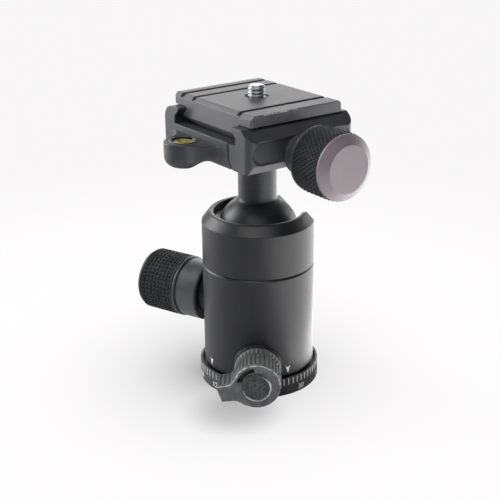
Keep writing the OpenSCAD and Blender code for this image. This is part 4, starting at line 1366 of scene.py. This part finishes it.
class BallHeadSizes(bpy.types.PropertyGroup):
    """Sizes of the detail that the CAD frame doesn't fix."""

    notch_near: length("Notch near side", "From the barrel's middle to the notch's near side", 7.6, 6, 12)
    notch_far: length("Notch far side", "From the barrel's middle to the notch's far side", 10.3, 6, 12)
    notch_flare: turn("Notch flare", "How much each side of the notch opens outwards", 6.3)
    notch_ease: length("Notch ease", "Rounding where the notch meets the rim", 0.8, 0.3, 3.5)
    notch_turn: turn("Notch direction", "Compass direction of the drop notch", -14.4)
    rim_chamfer: length("Rim chamfer", "Width of the chamfer at the rim", 2.6, 1.8, 3)
    lip_line: length("Lip radius", "Inner radius of the lip ring in the rim", 16.5, 15, 17)
    dial_lines: number("Dial lines", "Lines round the dial", 72, 36, 72)
    dial_line: length("Dial line", "Length of a dial line", 2.6, 1, 3)
    dial_turn: turn("Dial direction", "Compass direction of the line numbered 30", -81.7)
    digit_height: length("Digit height", "Height of a dial number", 2.1, 1, 3)
    digit_foot: length("Digit foot", "Height of the foot of a dial number", 1.2, 0.5, 3)
    mark_turn: turn("Mark direction", "Compass direction of the first index mark", -94.8)
    stem_width: length("Stem width", "Diameter of the stem", 14.4, 12, 14.6)
    stud_rows: number("Stud rows", "Stud rows round the lock knob", 46, 20, 60)
    stud_rings: number("Stud rings", "Studs along the lock knob", 8, 6, 12)
    stud_depth: length("Stud depth", "Height of a stud", 0.65, 0.2, 1)
    bare_strip: length("Bare strip", "Width of the plain strip between the studs", 2.4, 0, 8)
    wing_reach: length("Wing reach", "Reach of the lever's wing", 14.8, 13, 18)
    lever_lip: length("Lever lip", "Smooth lip at the front of the lever", 1.3, 0.5, 3)
    lever_ribs: number("Lever ribs", "Ribs in a full turn", 34, 24, 40)
    rib_blocks: number("Rib blocks", "Blocks along each rib", 5, 1, 8)
    rib_depth: length("Rib depth", "Depth of the gaps between ribs", 0.6, 0.2, 1)
    disc_width: length("Disc width", "Diameter of the disc on the lever", 10.6, 8, 12)
    disc_proud: length("Disc height", "How far the disc stands out", 1.2, 0.2, 2)
    lug_fillet: length("Lug fillet", "Hollow fillet from the lug into the clamp", 9, 4, 12)
    lug_round: length("Lug belly", "Rounding under the lug", 2.5, 1, 5)
    lug_hang: length("Lug hang", "How far the lug hangs below the clamp", 2.4, 0, 3)
    recess_depth: length("Recess depth", "Depth of the recess in the moving jaw", 0.8, 0.3, 2)
    knurl_count: number("Knurl starts", "Diamonds round the clamp knob", 46, 30, 70)
    knurl_rows: number("Knurl rows", "Mesh rows along the knurl", 90, 40, 160)
    knurl_depth: length("Knurl depth", "Depth of the diamond cut", 0.5, 0.2, 1)
    knurl_slope: turn("Knurl slope", "Angle of the cuts from the knob axis", 35)
    plate_flange: length("Plate flange", "Thickness of the plate flange", 4.1, 3.6, 5)
    groove_depth: length("Groove depth", "Depth of the grooves in the plate", 1.3, 0.6, 1.8)
    plate_bevel: length("Plate bevel", "Bevel along the top of the plate's ends", 1.4, 0.5, 2)
    plate_foot_bevel: length("Plate foot bevel", "Bevel along the foot of the plate's ends", 1.7, 0.5, 3)


class BallHeadStage(bpy.types.PropertyGroup):
    """Camera, backdrop, soft shades and lamps."""

    lens: FloatProperty(name="Lens", description="Focal length in millimetres", default=78.79, min=20, max=200)
    room_light: fraction("Room light", "Strength of the white room", 0.0)
    backdrop: fraction("Backdrop", "Brightness of the open backdrop for the camera", 0.945)
    shade_turn: turn("Shade direction", "Compass direction to which the soft shade on the floor leans", 135)
    shade_shift: length("Shade shift", "How far the soft shade leans", 12, 0, 60)
    shade_reach: length("Shade reach", "How fast the soft shade fades", 20.5, 5, 90)
    shade_front: length("Front shade", "Middle to the soft shade under the lever", 34, 20, 60)
    shade_depth: fraction("Shade depth", "Darkest part of the soft shade", 0.55)
    left_power: watts("Left box", "Power of the left softbox", 9.0)
    back_power: watts("Back box", "Power of the box behind", 4.8)
    right_power: watts("Right box", "Power of the right softbox", 2.0)
    front_power: watts("Front box", "Power of the box over the front", 5.4)
    card_power: watts("Right card", "Power of the bright card on the right", 2.2)


class BallHeadColours(bpy.types.PropertyGroup):
    """Colours of the finishes, as linear values."""

    barrel: tint("Barrel", "Anodising of the barrel", (0.013, 0.0135, 0.0155))
    dial: tint("Dial", "Anodising of the dial ring", (0.03, 0.0305, 0.033))
    ball: tint("Ball", "Anodising of the ball and stem", (0.017, 0.018, 0.021))
    clamp: tint("Clamp", "Finish of the clamp body", (0.034, 0.036, 0.042))
    jaw: tint("Jaw", "Finish of the moving jaw", (0.05, 0.051, 0.056))
    plate: tint("Plate", "Finish of the quick plate", (0.1, 0.099, 0.105))
    lever: tint("Pan lever", "Finish of the pan lever", (0.118, 0.12, 0.122))
    collar: tint("Lock collar", "Finish of the lock knob collar", (0.075, 0.078, 0.082))
    cap: tint("Knob cap", "Finish of the clamp knob cap", (0.225, 0.192, 0.205))
    rubber: tint("Rubber", "Rubber of both knobs", (0.014, 0.016, 0.018))
    zinc: tint("Zinc", "Plating of the camera screw", (0.66, 0.67, 0.68))
    mark: tint("Marks", "Paint of the lines, numbers and marks", (0.95, 0.95, 0.94))


# ---------- operators and panel ----------


class BALLHEAD_OT_hidden(bpy.types.Operator):
    """Gives the CAD pieces that stay as they are their finishes"""

    bl_idname = "ballhead.hidden"
    bl_label = "Build Hidden Pieces"

    def execute(self, context):
        finish_hidden()
        return {"FINISHED"}


class BALLHEAD_OT_barrel(bpy.types.Operator):
    """Builds the two halves of the barrel and their side bosses"""

    bl_idname = "ballhead.barrel"
    bl_label = "Build Barrel"

    def execute(self, context):
        build_barrel(context.scene.ball_head)
        return {"FINISHED"}


class BALLHEAD_OT_socket(bpy.types.Operator):
    """Builds the lip ring, the seat and the sleeve round the ball"""

    bl_idname = "ballhead.socket"
    bl_label = "Build Socket Edge"

    def execute(self, context):
        build_socket(context.scene.ball_head)
        return {"FINISHED"}


class BALLHEAD_OT_dial(bpy.types.Operator):
    """Builds the dial ring with its lines and numbers, and the index marks"""

    bl_idname = "ballhead.dial"
    bl_label = "Build Dial"

    def execute(self, context):
        build_dial(context.scene.ball_head)
        return {"FINISHED"}


class BALLHEAD_OT_ball(bpy.types.Operator):
    """Builds the ball with its stem"""

    bl_idname = "ballhead.ball"
    bl_label = "Build Ball"

    def execute(self, context):
        build_ball(context.scene.ball_head)
        return {"FINISHED"}


class BALLHEAD_OT_lock_knob(bpy.types.Operator):
    """Builds the collar, the studded grip and the end of the lock knob"""

    bl_idname = "ballhead.lock_knob"
    bl_label = "Build Lock Knob"

    def execute(self, context):
        build_lock_knob(context.scene.ball_head)
        return {"FINISHED"}


class BALLHEAD_OT_pan_lever(bpy.types.Operator):
    """Builds the pan lever and its disc"""

    bl_idname = "ballhead.pan_lever"
    bl_label = "Build Pan Lever"

    def execute(self, context):
        build_pan_lever(context.scene.ball_head)
        return {"FINISHED"}


class BALLHEAD_OT_clamp(bpy.types.Operator):
    """Builds the clamp body with its lug, and the moving jaw"""

    bl_idname = "ballhead.clamp"
    bl_label = "Build Clamp"

    def execute(self, context):
        build_clamp(context.scene.ball_head)
        return {"FINISHED"}


class BALLHEAD_OT_level(bpy.types.Operator):
    """Builds the round level: bezel, liquid, bubble and window"""

    bl_idname = "ballhead.level"
    bl_label = "Build Level"

    def execute(self, context):
        build_level()
        return {"FINISHED"}


class BALLHEAD_OT_clamp_knob(bpy.types.Operator):
    """Builds the flange, the knurled grip and the cap of the clamp knob"""

    bl_idname = "ballhead.clamp_knob"
    bl_label = "Build Clamp Knob"

    def execute(self, context):
        build_clamp_knob(context.scene.ball_head)
        return {"FINISHED"}


class BALLHEAD_OT_plate(bpy.types.Operator):
    """Builds the quick plate with its grooves"""

    bl_idname = "ballhead.plate"
    bl_label = "Build Quick Plate"

    def execute(self, context):
        build_plate(context.scene.ball_head)
        return {"FINISHED"}


class BALLHEAD_OT_camera_screw(bpy.types.Operator):
    """Builds the camera screw with its thread"""

    bl_idname = "ballhead.camera_screw"
    bl_label = "Build Camera Screw"

    def execute(self, context):
        build_camera_screw()
        return {"FINISHED"}


class BALLHEAD_OT_stage(bpy.types.Operator):
    """Builds the floor, the backdrop, the lights and the camera"""

    bl_idname = "ballhead.stage"
    bl_label = "Build Stage"

    def execute(self, context):
        build_stage(context.scene.ball_head_stage)
        return {"FINISHED"}


STEPS = [BALLHEAD_OT_hidden, BALLHEAD_OT_barrel, BALLHEAD_OT_socket, BALLHEAD_OT_dial,
         BALLHEAD_OT_ball, BALLHEAD_OT_lock_knob, BALLHEAD_OT_pan_lever, BALLHEAD_OT_clamp,
         BALLHEAD_OT_level, BALLHEAD_OT_clamp_knob, BALLHEAD_OT_plate, BALLHEAD_OT_camera_screw,
         BALLHEAD_OT_stage]


class BALLHEAD_PT_pieces(bpy.types.Panel):
    """Lists the settings and the steps that build the ball head."""

    bl_label = "Ball Head"
    bl_space_type = "VIEW_3D"
    bl_region_type = "UI"
    bl_category = "Ball Head"

    def draw(self, context):
        scene = context.scene
        for group in (scene.ball_head, scene.ball_head_stage, scene.ball_head_colours):
            box = self.layout.box()
            for name in group.__annotations__:
                box.prop(group, name)
        for step in STEPS:
            self.layout.operator(step.bl_idname)


CLASSES = [BallHeadSizes, BallHeadStage, BallHeadColours, *STEPS, BALLHEAD_PT_pieces]


def register():
    """Registers the settings, the steps and the panel."""
    for item in CLASSES:
        bpy.utils.register_class(item)
    bpy.types.Scene.ball_head = PointerProperty(type=BallHeadSizes)
    bpy.types.Scene.ball_head_stage = PointerProperty(type=BallHeadStage)
    bpy.types.Scene.ball_head_colours = PointerProperty(type=BallHeadColours)


def unregister():
    """Takes the settings, the steps and the panel out again."""
    del bpy.types.Scene.ball_head, bpy.types.Scene.ball_head_stage, bpy.types.Scene.ball_head_colours
    for item in reversed(CLASSES):
        bpy.utils.unregister_class(item)


def main():
    """Registers the settings, then builds every piece and the stage."""
    register()
    for step in STEPS:
        getattr(bpy.ops.ballhead, step.bl_idname.split(".")[1])()


if __name__ == "__main__":
    main()
